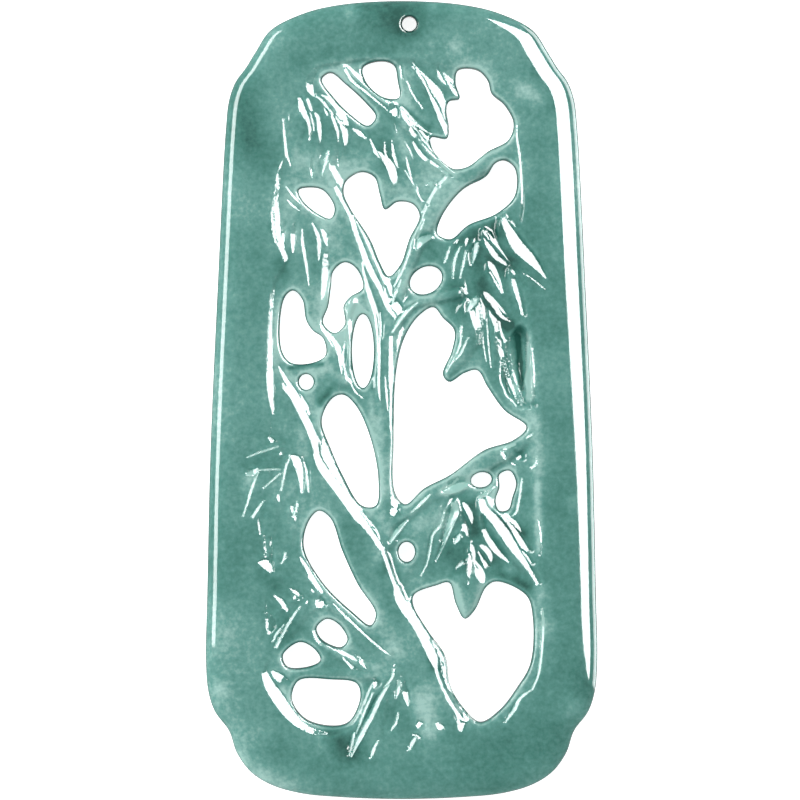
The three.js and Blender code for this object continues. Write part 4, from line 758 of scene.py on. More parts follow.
def evenly(ring, spacing):
    """The closed ring again, with its points the same distance apart."""
    closed = np.vstack([ring, ring[:1]])
    reach = np.concatenate([[0], np.cumsum(np.linalg.norm(np.diff(closed, axis=0), axis=1))])
    count = max(12, int(round(reach[-1] / spacing)))
    at = np.linspace(0, reach[-1], count, endpoint=False)
    return np.column_stack([np.interp(at, reach, closed[:, k]) for k in range(2)])


def anticlockwise(ring):
    """The ring, turned round if it runs clockwise."""
    x, y = ring[:, 0], ring[:, 1]
    area = np.sum(x * np.roll(y, -1) - np.roll(x, -1) * y)
    return ring if area > 0 else ring[::-1].copy()


def closed_ring(points, spacing):
    """A closed smooth ring through the points."""
    return anticlockwise(evenly(spline(points, CURVE_STEPS, True), spacing))


def oval_ring(x, y, half_length, half_width, turn, spacing):
    """An oval ring about a centre."""
    a = np.linspace(0, 2 * np.pi, 4 * CURVE_STEPS, endpoint=False)
    c, s = math.cos(math.radians(turn)), math.sin(math.radians(turn))
    u, v = half_length * np.cos(a), half_width * np.sin(a)
    return anticlockwise(evenly(np.column_stack([x + u * c - v * s, y + u * s + v * c]), spacing))


def outline_points():
    """The full outline, from its right half."""
    left = [(-x, y) for x, y in reversed(HALF_OUTLINE[1:-1])]
    return HALF_OUTLINE + left


def moved(ring, distance):
    """The ring moved outwards by a distance."""
    ahead, behind = np.roll(ring, -1, axis=0), np.roll(ring, 1, axis=0)
    tangent = ahead - behind
    normal = np.column_stack([tangent[:, 1], -tangent[:, 0]])
    normal = (np.roll(normal, 1, axis=0) + 2 * normal + np.roll(normal, -1, axis=0)) / 4
    return ring + distance * normal / np.linalg.norm(normal, axis=1)[:, None]


def distance_to(points, ring):
    """Each point's distance to the closed ring."""
    start, end = ring, np.roll(ring, -1, axis=0)
    step = end - start
    length2 = np.maximum((step ** 2).sum(1), 1e-12)
    best = np.full(len(points), 1e9)
    for i in range(len(ring)):
        away = points - start[i]
        t = np.clip(away @ step[i] / length2[i], 0, 1)
        gap = away - t[:, None] * step[i]
        np.minimum(best, (gap ** 2).sum(1), out=best)
    return np.sqrt(best)


def inside(points, ring):
    """Whether each point is inside the closed ring."""
    x, y = points[:, 0], points[:, 1]
    result = np.zeros(len(points), bool)
    for (x0, y0), (x1, y1) in zip(ring, np.roll(ring, -1, axis=0)):
        if y0 == y1:
            continue
        crosses = (y0 > y) != (y1 > y)
        result ^= crosses & (x < (x1 - x0) * (y - y0) / (y1 - y0) + x0)
    return result


def near_box(points, ring, margin):
    """Which points are in the ring's box widened by a margin."""
    low, high = ring.min(0) - margin, ring.max(0) + margin
    return np.all((points >= low) & (points <= high), axis=1)


def opening_gap(points, loops, margin):
    """Each point's distance to the nearest opening, up to a margin, and whether it is in one."""
    gap = np.full(len(points), margin)
    hit = np.zeros(len(points), bool)
    for loop in loops:
        close = np.flatnonzero(near_box(points, loop, margin))
        if len(close) == 0:
            continue
        gap[close] = np.minimum(gap[close], distance_to(points[close], loop))
        hit[close] |= inside(points[close], loop)
    return gap, hit


def well_inside(points, ring, least):
    """The points inside the ring that are further from it than the least distance."""
    points = points[inside(points, ring)]
    return points[distance_to(points, ring) > least]


def clear_of(points, loops, least):
    """The points outside every opening that are further from them than the least distance."""
    gap, hit = opening_gap(points, loops, OPENING_REACH)
    return points[(gap > least) & ~hit]


def beside(line, x, y):
    """For each point: the nearest place on a line, and its offsets across the line and past its ends."""
    tangent = line_tangent(line)
    best = np.full(x.shape, 1e9)
    nearest = np.zeros(x.shape, int)
    for i, (line_x, line_y) in enumerate(line[:, :2]):
        d = (x - line_x) ** 2 + (y - line_y) ** 2
        nearest = np.where(d < best, i, nearest)
        best = np.minimum(best, d)
    dx, dy = x - line[nearest, 0], y - line[nearest, 1]
    tx, ty = tangent[nearest, 0], tangent[nearest, 1]
    ahead = dx * tx + dy * ty
    past = np.where(nearest == 0, np.maximum(-ahead, 0), 0)
    past = np.where(nearest == len(line) - 1, np.maximum(ahead, 0), past)
    return nearest, dx * ty - dy * tx, past


def line_tangent(line):
    """The direction of a line at each of its points."""
    tangent = np.gradient(line[:, :2], axis=0)
    return tangent / np.maximum(np.linalg.norm(tangent, axis=1), 1e-9)[:, None]


class Stroke:
    """One stroke of the carving tool: a narrow facet that falls to the right, or to the left where the
    stroke leans to the right, with steep flanks around it."""

    def __init__(self, stations, relief):
        self.line = spline(stations, STROKE_STEPS, False)
        run = self.line[-1, :2] - self.line[0, :2]
        towards = np.array([run[1], -run[0]]) / np.hypot(*run)
        sign = 1 if towards[0] > 0 or (towards[0] == 0 and towards[1] > 0) else -1
        leaning = sign * towards[1] < LEAN * sign * towards[0]
        self.fall = LEFT_FALL if leaning else RIGHT_FALL
        self.sign = -sign if leaning else sign
        self.half = np.maximum(self.line[:, 2] / 2, THINNEST_HALF)
        tangent = line_tangent(self.line)
        side = self.sign * np.column_stack([tangent[:, 1], -tangent[:, 0]])
        start = self.line[:, :2] - side * (self.half[:, None] + CELL)
        self.top = level_out(relief.at(start), LEVEL_REACH)
        if leaning:
            self.top = np.minimum(self.top + self.fall * self.half, THICK)
        # Strokes that fall to the left get a painted highlight: their facets' colour is made lighter
        self.painted_cut_highlight = CUT_PAINTED_HIGHLIGHT if leaning else 0
        reach = self.half.max() + FLANK_REACH
        self.low = self.line[:, :2].min(0) - reach
        self.high = self.line[:, :2].max(0) + reach

    def cut(self, z, x, y):
        """The heights with the stroke cut into them, and each point's distance from its facet."""
        nearest, across, past = beside(self.line, x, y)
        across = self.sign * across
        inner = np.clip(across, -self.half[nearest], self.half[nearest])
        facet = self.top[nearest] - self.fall * (inner + self.half[nearest])
        away = np.hypot(across - inner, past)
        return np.clip(z, facet - FLANK * away, facet + FLANK * away), away


class Relief:
    """Heights of the carved face on a fine grid, before its openings are cut."""

    def __init__(self):
        self.x = np.arange(-RASTER_HALF_WIDTH, RASTER_HALF_WIDTH + CELL, CELL)
        self.y = np.arange(-RASTER_HALF_HEIGHT, RASTER_HALF_HEIGHT + CELL, CELL)
        self.z = np.full((len(self.y), len(self.x)), THICK)
        self.plain = self.z
        self.strokes = []

    def window(self, low, high):
        """The part of the grid between two corners, and its points."""
        columns = slice(np.searchsorted(self.x, low[0]), np.searchsorted(self.x, high[0]))
        rows = slice(np.searchsorted(self.y, low[1]), np.searchsorted(self.y, high[1]))
        gx, gy = np.meshgrid(self.x[columns], self.y[rows])
        return (rows, columns), gx, gy

    def sink_field(self, border):
        """Sinks a field: shallow with a short drop at the left, deep with a long slope at the right."""
        ring = closed_ring(border, FIELD_SPACING)
        where, gx, gy = self.window(ring.min(0), ring.max(0))
        points = np.column_stack([gx.ravel(), gy.ravel()])
        share = np.zeros(len(points))
        within = inside(points, ring)
        wall = np.interp(points[within, 0], WALL_CHANGE, [LEFT_WALL, RIGHT_WALL])
        share[within] = np.clip(distance_to(points[within], ring) / wall, 0, 1)
        depth = np.interp(points[:, 0], DEPTH_CHANGE, [SHALLOW, FIELD_DEPTH])
        sunk = THICK - (depth * smooth(share)).reshape(gx.shape)
        self.z[where] = np.minimum(self.z[where], sunk)

    def blade_frame(self, leaf, margin):
        """The part of the grid near a blade, its points' shares of the length and offsets, and the length."""
        base, tip = np.array([leaf.base_x, leaf.base_y]), np.array([leaf.tip_x, leaf.tip_y])
        length = np.linalg.norm(tip - base)
        along = (tip - base) / length
        reach = leaf.width / 2 + abs(leaf.bow) + margin
        where, gx, gy = self.window(np.minimum(base, tip) - reach, np.maximum(base, tip) + reach)
        dx, dy = gx - leaf.base_x, gy - leaf.base_y
        u = (dx * along[0] + dy * along[1]) / length
        v = -dx * along[1] + dy * along[0]
        return where, u, v - 4 * leaf.bow * u * (1 - u), length

    def sink_bed(self, leaf):
        """Lowers the surface softly around a blade."""
        where, u, v, length = self.blade_frame(leaf, 3 * BED_REACH)
        half = blade_half_width(u, leaf.width)
        past = np.maximum(np.maximum(-u, u - 1) * length, 0)
        gap = np.hypot(np.maximum(np.abs(v) - half, 0), past)
        fade = smooth((BED_END - self.x[where[1]]) / BED_FADE)
        sunk = BED_DEPTH * np.exp(-(gap / BED_REACH) ** 2) * fade
        self.z[where] = np.minimum(self.z[where], THICK - sunk)

    def raise_blade(self, leaf, crest, drop, power, soft):
        """A leaf blade with a rounded section and a fine line along its midrib."""
        where, u, v, _ = self.blade_frame(leaf, BLADE_MARGIN)
        half = np.maximum(blade_half_width(u, leaf.width), THINNEST_HALF)
        s = np.minimum(np.abs(v) / half, 4)
        top = crest - TIP_DROP * u * u - drop * s ** power
        midrib = np.clip(half / MIDRIB_FADE - 0.4, 0, 1)
        top -= MIDRIB_DEPTH * np.exp(-(v / MIDRIB_WIDTH) ** 2) * midrib
        self.z[where] = smooth_max(self.z[where], top, soft)

    def raise_stem(self, stations, crest, side, square, nodes=(), swell=0.0):
        """A stem with a flattened back and rounded shoulders, and a raised ring at each node."""
        line = spline(stations, CURVE_STEPS, False)
        share = np.linspace(0, 1, len(line))
        lift = np.zeros(len(line))
        for node in nodes:
            lift = np.maximum(lift, smooth(1 - np.abs(share - node) / NODE_LENGTH))
        line[:, 2] *= 1 + NODE_FLARE * lift
        reach = line[:, 2].max() / 2 + STEM_MARGIN
        where, gx, gy = self.window(line[:, :2].min(0) - reach, line[:, :2].max(0) + reach)
        nearest, across, past = beside(line, gx, gy)
        s = np.hypot(across, past) / (line[nearest, 2] / 2)
        top = crest + swell * lift[nearest]
        shoulder = (1 - np.minimum(s, 1) ** square) ** (1 / square)
        round_top = side + (top - side) * shoulder - FOOT_SLOPE * np.maximum(s - 1, 0)
        self.z[where] = smooth_max(self.z[where], round_top, STEM_BLEND)

    def cut_strokes(self):
        """Cuts every stroke of the carving tool, and keeps them for the exact heights of single points."""
        self.plain = self.z.copy()
        for stations in all_strokes():
            stroke = Stroke(stations, self)
            where, gx, gy = self.window(stroke.low, stroke.high)
            self.z[where], _ = stroke.cut(self.z[where], gx, gy)
            self.strokes.append(stroke)

    def finished(self, points):
        """Each point's height with exact strokes, whether it lies on one, and its painted highlight: how much
        lighter its colour is made on the facet of a stroke that falls to the left.
        """
        z = self.at(points, self.plain)
        crisp = np.zeros(len(points), bool)
        painted_cut_highlight = np.zeros(len(points))
        for stroke in self.strokes:
            near = np.flatnonzero(((points > stroke.low) & (points < stroke.high)).all(axis=1))
            z[near], away = stroke.cut(z[near], points[near, 0], points[near, 1])
            crisp[near[away < STROKE_REACH]] = True
            painted_cut_highlight[near[away < FACET_REACH]] = stroke.painted_cut_highlight
        return np.minimum(z, THICK), crisp, painted_cut_highlight

    def sink_hollow(self):
        """The deep rounded hollow in the right border."""
        reach = HOLLOW["half_length"] + HOLLOW["margin"]
        centre = np.array([HOLLOW["x"], HOLLOW["y"]])
        where, gx, gy = self.window(centre - reach, centre + reach)
        turn = math.radians(HOLLOW["turn"])
        c, s = math.cos(turn), math.sin(turn)
        dx, dy = gx - HOLLOW["x"], gy - HOLLOW["y"]
        across, along = dx * c + dy * s, -dx * s + dy * c
        r = np.hypot(across / HOLLOW["half_width"], along / HOLLOW["half_length"])
        bowl = np.clip(HOLLOW["lip"] - r, 0, 1)
        fall = smooth(bowl * HOLLOW["steepness"])
        self.z[where] = np.minimum(self.z[where], THICK - HOLLOW["depth"] * fall)

    def blurred(self, sigma):
        """The heights, softened as polishing does."""
        reach = int(3 * sigma / CELL)
        offsets = np.arange(-reach, reach + 1) * CELL
        weights = np.exp(-0.5 * (offsets / sigma) ** 2)
        weights /= weights.sum()
        soft = self.z
        for axis in (0, 1):
            total = np.zeros_like(soft)
            for shift, weight in zip(range(-reach, reach + 1), weights):
                total += weight * np.roll(soft, shift, axis=axis)
            soft = total
        return soft

    def proud(self, points):
        """How far each point stands out over the surface around it."""
        return self.at(points) - self.at(points, self.blurred(CAVITY_REACH))

    def carved(self, points):
        """Whether each point lies on the carving, and not on the plain face."""
        column = np.round((points[:, 0] - self.x[0]) / CELL).astype(int)
        row = np.round((points[:, 1] - self.y[0]) / CELL).astype(int)
        return np.abs(self.z[row, column] - THICK) > PLAIN_LIMIT

    def at(self, points, heights=None):
        """The height at each point, from the finished grid or from other heights on it."""
        fx = (points[:, 0] - self.x[0]) / CELL
        fy = (points[:, 1] - self.y[0]) / CELL
        ix, iy = np.floor(fx).astype(int), np.floor(fy).astype(int)
        tx, ty = fx - ix, fy - iy
        z = self.z if heights is None else heights
        low = z[iy, ix] * (1 - tx) + z[iy, ix + 1] * tx
        high = z[iy + 1, ix] * (1 - tx) + z[iy + 1, ix + 1] * tx
        return low * (1 - ty) + high * ty


def smooth(share):
    """A smooth step from 0 to 1."""
    share = np.clip(share, 0, 1)
    return share * share * (3 - 2 * share)


def level_out(values, reach):
    """A running mean over neighbours up to a reach on either side."""
    padded = np.concatenate([np.full(reach, values[0]), values, np.full(reach, values[-1])])
    return np.convolve(padded, np.ones(2 * reach + 1) / (2 * reach + 1), "valid")


def smooth_max(a, b, soft):
    """The higher of two surfaces, blended where they cross."""
    close = np.clip(1 - np.abs(a - b) / soft, 0, 1)
    return np.maximum(a, b) + close * close * soft / 4


def blade_half_width(u, width):
    """Half of a blade's width along its length. The scale brings the fullest place to the full width."""
    base_power, tip_power, scale = 0.6, 0.95, 2.81
    inner = np.clip(u, 0, 1)
    return width / 2 * scale * inner ** base_power * (1 - inner) ** tip_power


def blades(sprays):
    """Every blade of the sprays."""
    return [Blade(*leaf) for spray in sprays.values() for leaf in spray]


def carve():
    """The whole relief: fields, beds, stems, leaves, the hollow and the strokes."""
    relief = Relief()
    relief.sink_field(FIELD)
    relief.sink_field(LOW_FIELD)
    for leaf in blades(BORDER_SPRAYS):
        relief.sink_bed(leaf)
    for stations in STEMS.values():
        relief.raise_stem(stations, **STEM_FORM)
    relief.raise_stem(TRUNK, nodes=TRUNK_NODES, **TRUNK_FORM)
    for leaf in blades(BORDER_SPRAYS):
        relief.raise_blade(leaf, **BORDER_BLADE)
    for leaf in blades(SPRAYS):
        form = SLIM_BLADE if leaf.width <= SLIM_WIDTH else FIELD_BLADE
        relief.raise_blade(leaf, **form)
    relief.sink_hollow()
    relief.z = relief.blurred(POLISH)
    relief.cut_strokes()
    relief.z = np.minimum(relief.z, THICK)
    return relief


def all_strokes():
    """Every stroke of the carving tool."""
    return [stroke for group in STROKES.values() for stroke in group]


def stroke_rows():
    """Rows of points along both edges of each stroke's facet, and just outside them."""
    rows = []
    for stations in all_strokes():
        line = spline(stations, STROKE_STEPS, False)
        reach = np.concatenate([[0], np.cumsum(np.hypot(*np.diff(line[:, :2], axis=0).T))])
        at = np.linspace(0, reach[-1], max(3, int(reach[-1] / ROW_SPACING)))
        x, y, width = (np.interp(at, reach, line[:, k]) for k in range(3))
        tx, ty = np.gradient(x), np.gradient(y)
        size = np.maximum(np.hypot(tx, ty), 1e-9)
        tx, ty = tx / size, ty / size
        for edge, extra in ((-1, 0), (1, 0), (-1, ROW_GAP), (1, ROW_GAP)):
            offset = edge * (width / 2 + extra)
            rows.append(np.column_stack([x + offset * ty, y - offset * tx]))
    return rows


def rounded(share):
    """A rounded edge's height, from 0 at the lip to 1 where it meets the face."""
    share = np.clip(share, 0, 1)
    return (1 - (1 - share) ** RIM_POWER) ** (1 / RIM_POWER)


def spread(candidates, gap):
    """The candidates, without those that lie within a gap of one that is kept already."""
    kept = []
    taken = {}
    for x, y in candidates:
        cx, cy = int(math.floor(x / gap)), int(math.floor(y / gap))
        crowded = any(
            (px - x) ** 2 + (py - y) ** 2 < gap * gap
            for i in (-1, 0, 1) for j in (-1, 0, 1)
            for px, py in taken.get((cx + i, cy + j), ())
        )
        if not crowded:
            taken.setdefault((cx, cy), []).append((x, y))
            kept.append((x, y))
    return np.array(kept)


def hexagonal(low, high, spacing):
    """Points in staggered rows between two corners."""
    rows = np.arange(low[1], high[1], spacing * math.sqrt(0.75))
    parts = []
    for i, y in enumerate(rows):
        x = np.arange(low[0] + (i % 2) * spacing / 2, high[0], spacing)
        parts.append(np.column_stack([x, np.full(len(x), y)]))
    return np.vstack(parts)


def face_points(relief, outline, loops):
    """Points for the face: rings along every edge, a fine grid on the carving and a wide one elsewhere."""
    last_rim, last_edge = RIM_STEPS[-1], EDGE_STEPS[-1]
    rings = [clear_of(row, loops, RIM_STEPS[0] * 2) for row in stroke_rows()]
    rings += [clear_of(moved(outline, -step), loops, last_rim + EDGE_RING_GAP) for step in EDGE_STEPS]
    rings += [
        clear_of(moved(loop, step), loops, step - RIM_RING_SLACK) for step in RIM_STEPS for loop in loops
    ]
    rings = spread(np.vstack(rings), CROWDED)

    fine = hexagonal(GRID_LOW, GRID_HIGH, FINE)
    fine = clear_of(fine[relief.carved(fine)], loops, last_rim + FINE_GAP)
    fine = well_inside(fine, outline, last_edge + FINE_GAP)

    coarse = well_inside(hexagonal(GRID_LOW, GRID_HIGH, COARSE), outline, last_edge + COARSE_GAP)
    coarse = clear_of(coarse, loops, last_rim + COARSE_RIM_GAP)
    return np.vstack([rings, fine, coarse[~relief.carved(coarse)]])


def numbered(rings, start):
    """The numbers of each ring's points, where the first one has the number start."""
    ends = start + np.cumsum([len(ring) for ring in rings])
    return [np.arange(end - len(ring), end) for ring, end in zip(rings, ends)]


def triangulate(loops, extra):
    """Triangles over the loops' points and the extra points, with the loops as fixed edges."""
    points = np.vstack(loops + [extra])
    edges = []
    owner = np.full(len(points), -1)
    for number, members in enumerate(numbered(loops, 0)):
        edges += zip(members.tolist(), np.roll(members, -1).tolist())
        owner[members] = number
    verts, _, faces, *_ = delaunay_2d_cdt([Vector(p) for p in points], edges, [], 0, 1e-7)
    if len(verts) != len(points):
        raise RuntimeError(f"{len(points)} points became {len(verts)} in the triangulation")
    tris = np.array(faces)
    owners = owner[tris]
    same = (owners[:, 0] >= 0) & (owners[:, 0] == owners[:, 1]) & (owners[:, 1] == owners[:, 2])
    keep = np.ones(len(tris), bool)
    for number, loop in enumerate(loops):
        mine = np.flatnonzero(same & (owners[:, 0] == number))
        if len(mine) == 0:
            continue
        middle = points[tris[mine]].mean(1)
        within = inside(middle, loop)
        keep[mine] = within if number == 0 else ~within
    return points, tris[keep]


def front_height(points, relief, outline, loops):
    """Each face point's finished height, whether it lies on a stroke, and its painted highlight from the
    strokes that fall to the left.
    """
    z, crisp, painted_cut_highlight = relief.finished(points)
    close = np.flatnonzero(distance_to(points, outline) < EDGE_WIDTH)
    depth = distance_to(points[close], outline)
    cosine = np.clip(1 - depth / EDGE_WIDTH, 0, 1)
    z[close] -= EDGE_DROP * (1 - np.sqrt(1 - cosine ** 2))
    gap, _ = opening_gap(points, loops, RIM_RADIUS)
    lip = np.maximum(z - RIM_DROP, LIP_LOWEST)
    return lip + (z - lip) * rounded(gap / RIM_RADIUS), crisp, painted_cut_highlight


def plaque_loops():
    """The outline, and the rings of the openings with the cord hole as the last."""
    outline = closed_ring(outline_points(), OUTLINE_SPACING)
    loops = [closed_ring(points, LOOP_SPACING) for points in OPENINGS]
    loops += [oval_ring(*oval, LOOP_SPACING) for oval in OVALS]
    hole_y = HEIGHT / 2 - HOLE_FROM_TOP
    loops.append(oval_ring(HOLE_X, hole_y, HOLE_RADIUS, HOLE_RADIUS, 0, HOLE_SPACING))
    return outline, loops


def flat_back(rings):
    """Points and triangles of the flat back, between the outline's ring and those of the openings."""
    grid = well_inside(hexagonal(GRID_LOW, GRID_HIGH, BACK_SPACING), rings[0], BACK_GAP)
    return triangulate(rings, clear_of(grid, rings[1:], BACK_RIM_GAP))


def at_front(values, count):
    """The front points' values, followed by zeros for the points of the walls and the back."""
    return np.concatenate([values, np.zeros(count - len(values), values.dtype)])


def build_plaque():
    """The plaque as one closed mesh, with its points on strokes, the painted shade along its edges, and its
    tone with painted light and shade in it.
    """
    relief = carve()
    outline, loops = plaque_loops()
    all_loops = [outline] + loops
    front, front_tris = triangulate(all_loops, face_points(relief, outline, loops))
    front_z, on_stroke, painted_cut_highlight = front_height(front, relief, outline, loops)
    verts = [np.column_stack([front, front_z])]
    tris = [front_tris]

    # Straight walls go down from the front loops, then a small round leads onto the flat back
    widest = [-BACK_EDGE] + [BACK_RIM] * len(loops)
    upper = numbered(all_loops, 0)
    total = len(front)
    for angle in (0, math.pi / 4):
        rings = [moved(loop, inset * (1 - math.cos(angle))) for loop, inset in zip(all_loops, widest)]
        for ring, inset in zip(rings, widest):
            height = abs(inset) * (1 - math.sin(angle))
            verts.append(np.column_stack([ring, np.full(len(ring), height)]))
        lower = numbered(rings, total)
        tris += [strip(*pair) for pair in zip(upper, lower)]
        upper = lower
        total += sum(len(ring) for ring in rings)
    back_rings = [moved(loop, inset) for loop, inset in zip(all_loops, widest)]
    back, back_tris = flat_back(back_rings)
    verts.append(np.column_stack([back, np.zeros(len(back))]))
    tris.append(back_tris[:, ::-1] + total)
    tris += [strip(*pair) for pair in zip(upper, numbered(back_rings, total))]

    verts, tris = np.vstack(verts), np.vstack(tris)
    count = len(verts)
    near_opening, _ = opening_gap(verts[:, :2], loops, SHADE_REACH)
    gap = np.minimum(near_opening[:len(front)], distance_to(front, outline))
    # Painted shade: a dark line along the edges of the openings and of the outline
    edge = at_front(EDGE_PAINTED_SHADE * (1 - smooth(gap / EDGE_PAINTED_SHADE_WIDTH)), count)
    proud = at_front(relief.proud(front), count)
    # The tone holds painted light and shade besides the stone's own spots, and the painted highlight on
    # strokes is added to it
    tone = stone_tone_and_painted_light(verts, near_opening, proud) + at_front(painted_cut_highlight, count)
    return verts, tris, at_front(on_stroke, count), edge, tone


def strip(upper, lower):
    """Triangles between two matching rings."""
    after_upper, after_lower = np.roll(upper, -1), np.roll(lower, -1)
    first = np.column_stack([upper, lower, after_lower])
    second = np.column_stack([upper, after_lower, after_upper])
    return np.vstack([first, second])


def mesh_object(name, verts, tris):
    """A smooth-shaded mesh object from points in millimetres."""
    mesh = bpy.data.meshes.new(name)
    mesh.vertices.add(len(verts))
    mesh.vertices.foreach_set("co", (verts * MM).astype(np.float32).ravel())
    mesh.loops.add(len(tris) * 3)
    mesh.loops.foreach_set("vertex_index", tris.astype(np.int32).ravel())
    mesh.polygons.add(len(tris))
    mesh.polygons.foreach_set("loop_start", np.arange(0, len(tris) * 3, 3, dtype=np.int32))
    mesh.polygons.foreach_set("use_smooth", np.ones(len(tris), bool))
    mesh.update(calc_edges=True)
    mesh.validate()
    obj = bpy.data.objects.new(name, mesh)
    bpy.context.scene.collection.objects.link(obj)
    return obj


def stone_tone_and_painted_light(points, gap, proud):
    """How light each point's colour is: a painted glow and highlight line near openings, painted light on
    raised carving and painted shade in hollows, and spots.
    """
    x, y = points[:, 0], points[:, 1]
    # Painted glow near openings, and a painted highlight line just inside their rims
    tone = MIDDLE_TONE + TONE_RIGHT * x + TONE_UP * y + RIM_PAINTED_GLOW * np.exp(-gap ** 2)
    tone += RIM_PAINTED_HIGHLIGHT * np.exp(-((gap - RIM_RADIUS) / RIM_PAINTED_HIGHLIGHT_WIDTH) ** 2)
    # Painted light on raised carving and painted shade in its hollows
    tone += np.clip(CAVITY_SHADE * proud, -MOST_SHADE, MOST_SHADE)
    for x0, y0, x1, y1, radius, amount in SPOTS_AND_PAINTED_LIGHT:
        run = np.array([x1 - x0, y1 - y0])
        share = np.clip(((x - x0) * run[0] + (y - y0) * run[1]) / max(run @ run, 1e-9), 0, 1)
        away = (x - x0 - share * run[0]) ** 2 + (y - y0 - share * run[1]) ** 2
        tone += amount * np.exp(-away / radius ** 2)
    return tone


def keep_crisp(mesh, crisp):
    """Leaves the edges of the strokes' facets sharp, and the rest of the face smooth."""
    mesh.set_sharp_from_angle(angle=math.radians(CREASE_ANGLE))
    sharp = np.zeros(len(mesh.edges), bool)
    ends = np.zeros(len(mesh.edges) * 2, np.int32)
    mesh.attributes["sharp_edge"].data.foreach_get("value", sharp)
    mesh.edges.foreach_get("vertices", ends)
    sharp &= crisp[ends.reshape(-1, 2)].all(axis=1)
    mesh.attributes["sharp_edge"].data.foreach_set("value", sharp)


def add_attribute(obj, name, values):
    """One number for each point, which the stone's material reads."""
    attribute = obj.data.attributes.new(name, "FLOAT", "POINT")
    attribute.data.foreach_set("value", values.astype(np.float32))


def jade_material():
    """Polished translucent blue-green stone with cloudy patches."""
    material = bpy.data.materials.new("jade")
    material.use_nodes = True
    nodes, links = material.node_tree.nodes, material.node_tree.links
    shader = nodes["Principled BSDF"]
    place = nodes.new("ShaderNodeTexCoord")

    def math_node(kind, first, second):
        node = nodes.new("ShaderNodeMath")
        node.operation = kind
        for socket, value in zip(node.inputs, (first, second)):
            if isinstance(value, (int, float)):
                socket.default_value = value
            else:
                links.new(value, socket)
        return node.outputs["Value"]

    def patches(scale, detail, roughness, share):
        node = nodes.new("ShaderNodeTexNoise")
        node.inputs["Scale"].default_value = scale
        node.inputs["Detail"].default_value = detail
        node.inputs["Roughness"].default_value = roughness
        links.new(place.outputs["Object"], node.inputs["Vector"])
        return math_node("MULTIPLY", math_node("SUBTRACT", node.outputs["Fac"], 0.5), share)

    def point_value(name):
        node = nodes.new("ShaderNodeAttribute")
        node.attribute_name = name
        return node.outputs["Fac"]

    # The tone holds painted light and shade; the clouds and the grain are the stone's own patches
    level = math_node("ADD", point_value("tone"), patches(*CLOUDS))
    level = math_node("ADD", level, patches(*GRAIN))
    ramp = nodes.new("ShaderNodeValToRGB")
    stops = ramp.color_ramp.elements
    stops[0].position, stops[0].color = STONE_COLOURS[0]
    stops[1].position, stops[1].color = STONE_COLOURS[-1]
    for position, colour in STONE_COLOURS[1:-1]:
        stops.new(position).color = colour
    links.new(level, ramp.inputs["Fac"])

    # Painted shade: the colour is mixed towards the dark colour along the edges
    darker = nodes.new("ShaderNodeMix")
    darker.data_type = "RGBA"
    darker.inputs["B"].default_value = PAINTED_SHADE_COLOUR
    links.new(point_value("edge"), darker.inputs["Factor"])
    links.new(ramp.outputs["Color"], darker.inputs["A"])
    links.new(darker.outputs["Result"], shader.inputs["Base Color"])
    shader.inputs["Roughness"].default_value = 0.05
    shader.inputs["IOR"].default_value = 1.66
    shader.inputs["Subsurface Weight"].default_value = 0.3
    shader.inputs["Subsurface Radius"].default_value = (0.6, 1.0, 0.95)
    shader.inputs["Subsurface Scale"].default_value = 0.0008
    return material


def floor_material():
    """A plain white table top."""
    material = bpy.data.materials.new("table")
    material.use_nodes = True
    nodes, links = material.node_tree.nodes, material.node_tree.links
    shader = nodes["Principled BSDF"]
    grain = nodes.new("ShaderNodeTexNoise")
    grain.inputs["Scale"].default_value = 30
    tone = nodes.new("ShaderNodeValToRGB")
    tone.color_ramp.elements[0].color = (0.86, 0.86, 0.86, 1)
    tone.color_ramp.elements[1].color = (0.9, 0.9, 0.9, 1)
    links.new(grain.outputs["Fac"], tone.inputs["Fac"])
    links.new(tone.outputs["Color"], shader.inputs["Base Color"])
    links.new(tone.outputs["Color"], shader.inputs["Emission Color"])
    shader.inputs["Emission Strength"].default_value = 1.0
    shader.inputs["Roughness"].default_value = 0.9
    return material


def add_floor():
    """The floor that the pendant lies on."""
    mesh = bpy.data.meshes.new("floor")
    level = -FLOOR_GAP * MM
    turns = ((-1, -1), (1, -1), (1, 1), (-1, 1))
    mesh.from_pydata([(x * FLOOR_HALF, y * FLOOR_HALF, level) for x, y in turns], [], [(0, 1, 2, 3)])
    mesh.materials.append(floor_material())
    floor = bpy.data.objects.new("floor", mesh)
    bpy.context.scene.collection.objects.link(floor)
    floor.visible_glossy = False


def add_panel(name, corner, outer, height, radiance):
    """A rectangular light that is seen in the polish only, from one corner, the next one and its height."""
    corner, outer = Vector(corner), Vector(outer)
    across = (outer - corner).normalized()
    inward = -((corner + outer) / 2)
    inward.y = 0
    up = inward.cross(across).normalized()
    if up.y < 0:
        up = -up
    towards = across.cross(up)
    if towards.dot(inward) < 0:
        towards = -towards
    width = (outer - corner).length
    light = bpy.data.lights.new(name, "AREA")
    light.shape = "RECTANGLE"
    light.size = width
    light.size_y = height
    light.energy = radiance * math.pi * width * height
    obj = bpy.data.objects.new(name, light)
    centre = corner + across * width / 2 + up * height / 2
    back = -towards.normalized()
    side = up.cross(back)
    rotation = Matrix((side, up, back)).transposed()
    obj.matrix_world = Matrix.Translation(centre) @ rotation.to_4x4()
    obj.visible_diffuse = False
    obj.visible_transmission = False
    bpy.context.scene.collection.objects.link(obj)


def on_arc(zenith, y, distance=0.6):
    """A point at a zenith angle on either side: positive angles lie to the right."""
    t = math.radians(zenith)
    return (math.sin(t) * distance, y, math.cos(t) * distance)


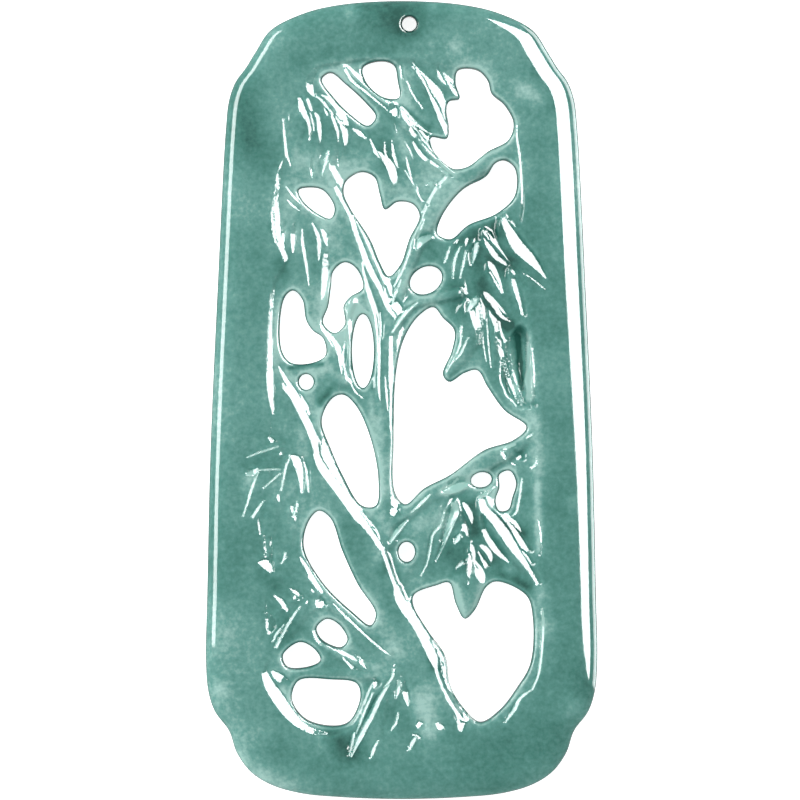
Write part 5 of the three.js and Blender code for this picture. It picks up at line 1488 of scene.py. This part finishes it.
def add_overhead(name, place, size, radiance):
    """A soft light that brightens the stone but isn't seen in its polish."""
    light = bpy.data.lights.new(name, "AREA")
    light.shape = "SQUARE"
    light.size = size
    light.energy = radiance * math.pi * size * size
    obj = bpy.data.objects.new(name, light)
    obj.location = place
    obj.rotation_euler = Vector(place).to_track_quat("Z", "Y").to_euler()
    obj.visible_glossy = False
    bpy.context.scene.collection.objects.link(obj)


def add_lights():
    """Two softboxes at the right, a narrow one at the left, a soft overhead light and a dim room."""
    add_panel("right_softbox", on_arc(13, 0.021), on_arc(71, -0.078), height=0.9, radiance=16.0)
    add_panel("right_low", on_arc(100, -0.1), on_arc(138, -0.1), height=0.9, radiance=5.0)
    add_panel("left_strip", on_arc(-58, -0.02), on_arc(-80, -0.02), height=0.9, radiance=9.0)
    add_overhead("overhead", place=(-0.35, 0.3, 1.0), size=0.8, radiance=4.2)
    world = bpy.data.worlds.new("studio")
    world.use_nodes = True
    background = world.node_tree.nodes["Background"]
    background.inputs["Color"].default_value = (1.0, 1.0, 1.0, 1)
    background.inputs["Strength"].default_value = 0.4
    bpy.context.scene.world = world


def add_camera():
    """A camera far above with a long lens, so the plaque is seen without perspective."""
    camera = bpy.data.cameras.new("camera")
    camera.sensor_fit = "HORIZONTAL"
    camera.sensor_width = 36.0
    picture_width = PICTURE_PIXELS * PIXEL * MM
    camera.lens = camera.sensor_width * (CAMERA_HEIGHT - THICK * MM) / picture_width
    obj = bpy.data.objects.new("camera", camera)
    obj.location = (CAMERA_X * MM, 0, CAMERA_HEIGHT)
    bpy.context.scene.collection.objects.link(obj)
    bpy.context.scene.camera = obj


verts, tris, crisp, edge, tone = build_plaque()
plaque = mesh_object("carved_bamboo_plaque", verts, tris)
keep_crisp(plaque.data, crisp)
# The tone carries painted light and shade into the material, besides the stone's own spots
add_attribute(plaque, "tone", tone)
# The edge attribute carries the painted shade along the edges
add_attribute(plaque, "edge", edge)
plaque.data.materials.append(jade_material())
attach(plaque, "root")
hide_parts("bamboo_plaque")
add_floor()
add_lights()
add_camera()
bpy.context.scene.view_settings.view_transform = "Standard"
print("triangles", len(tris), "points", len(verts))
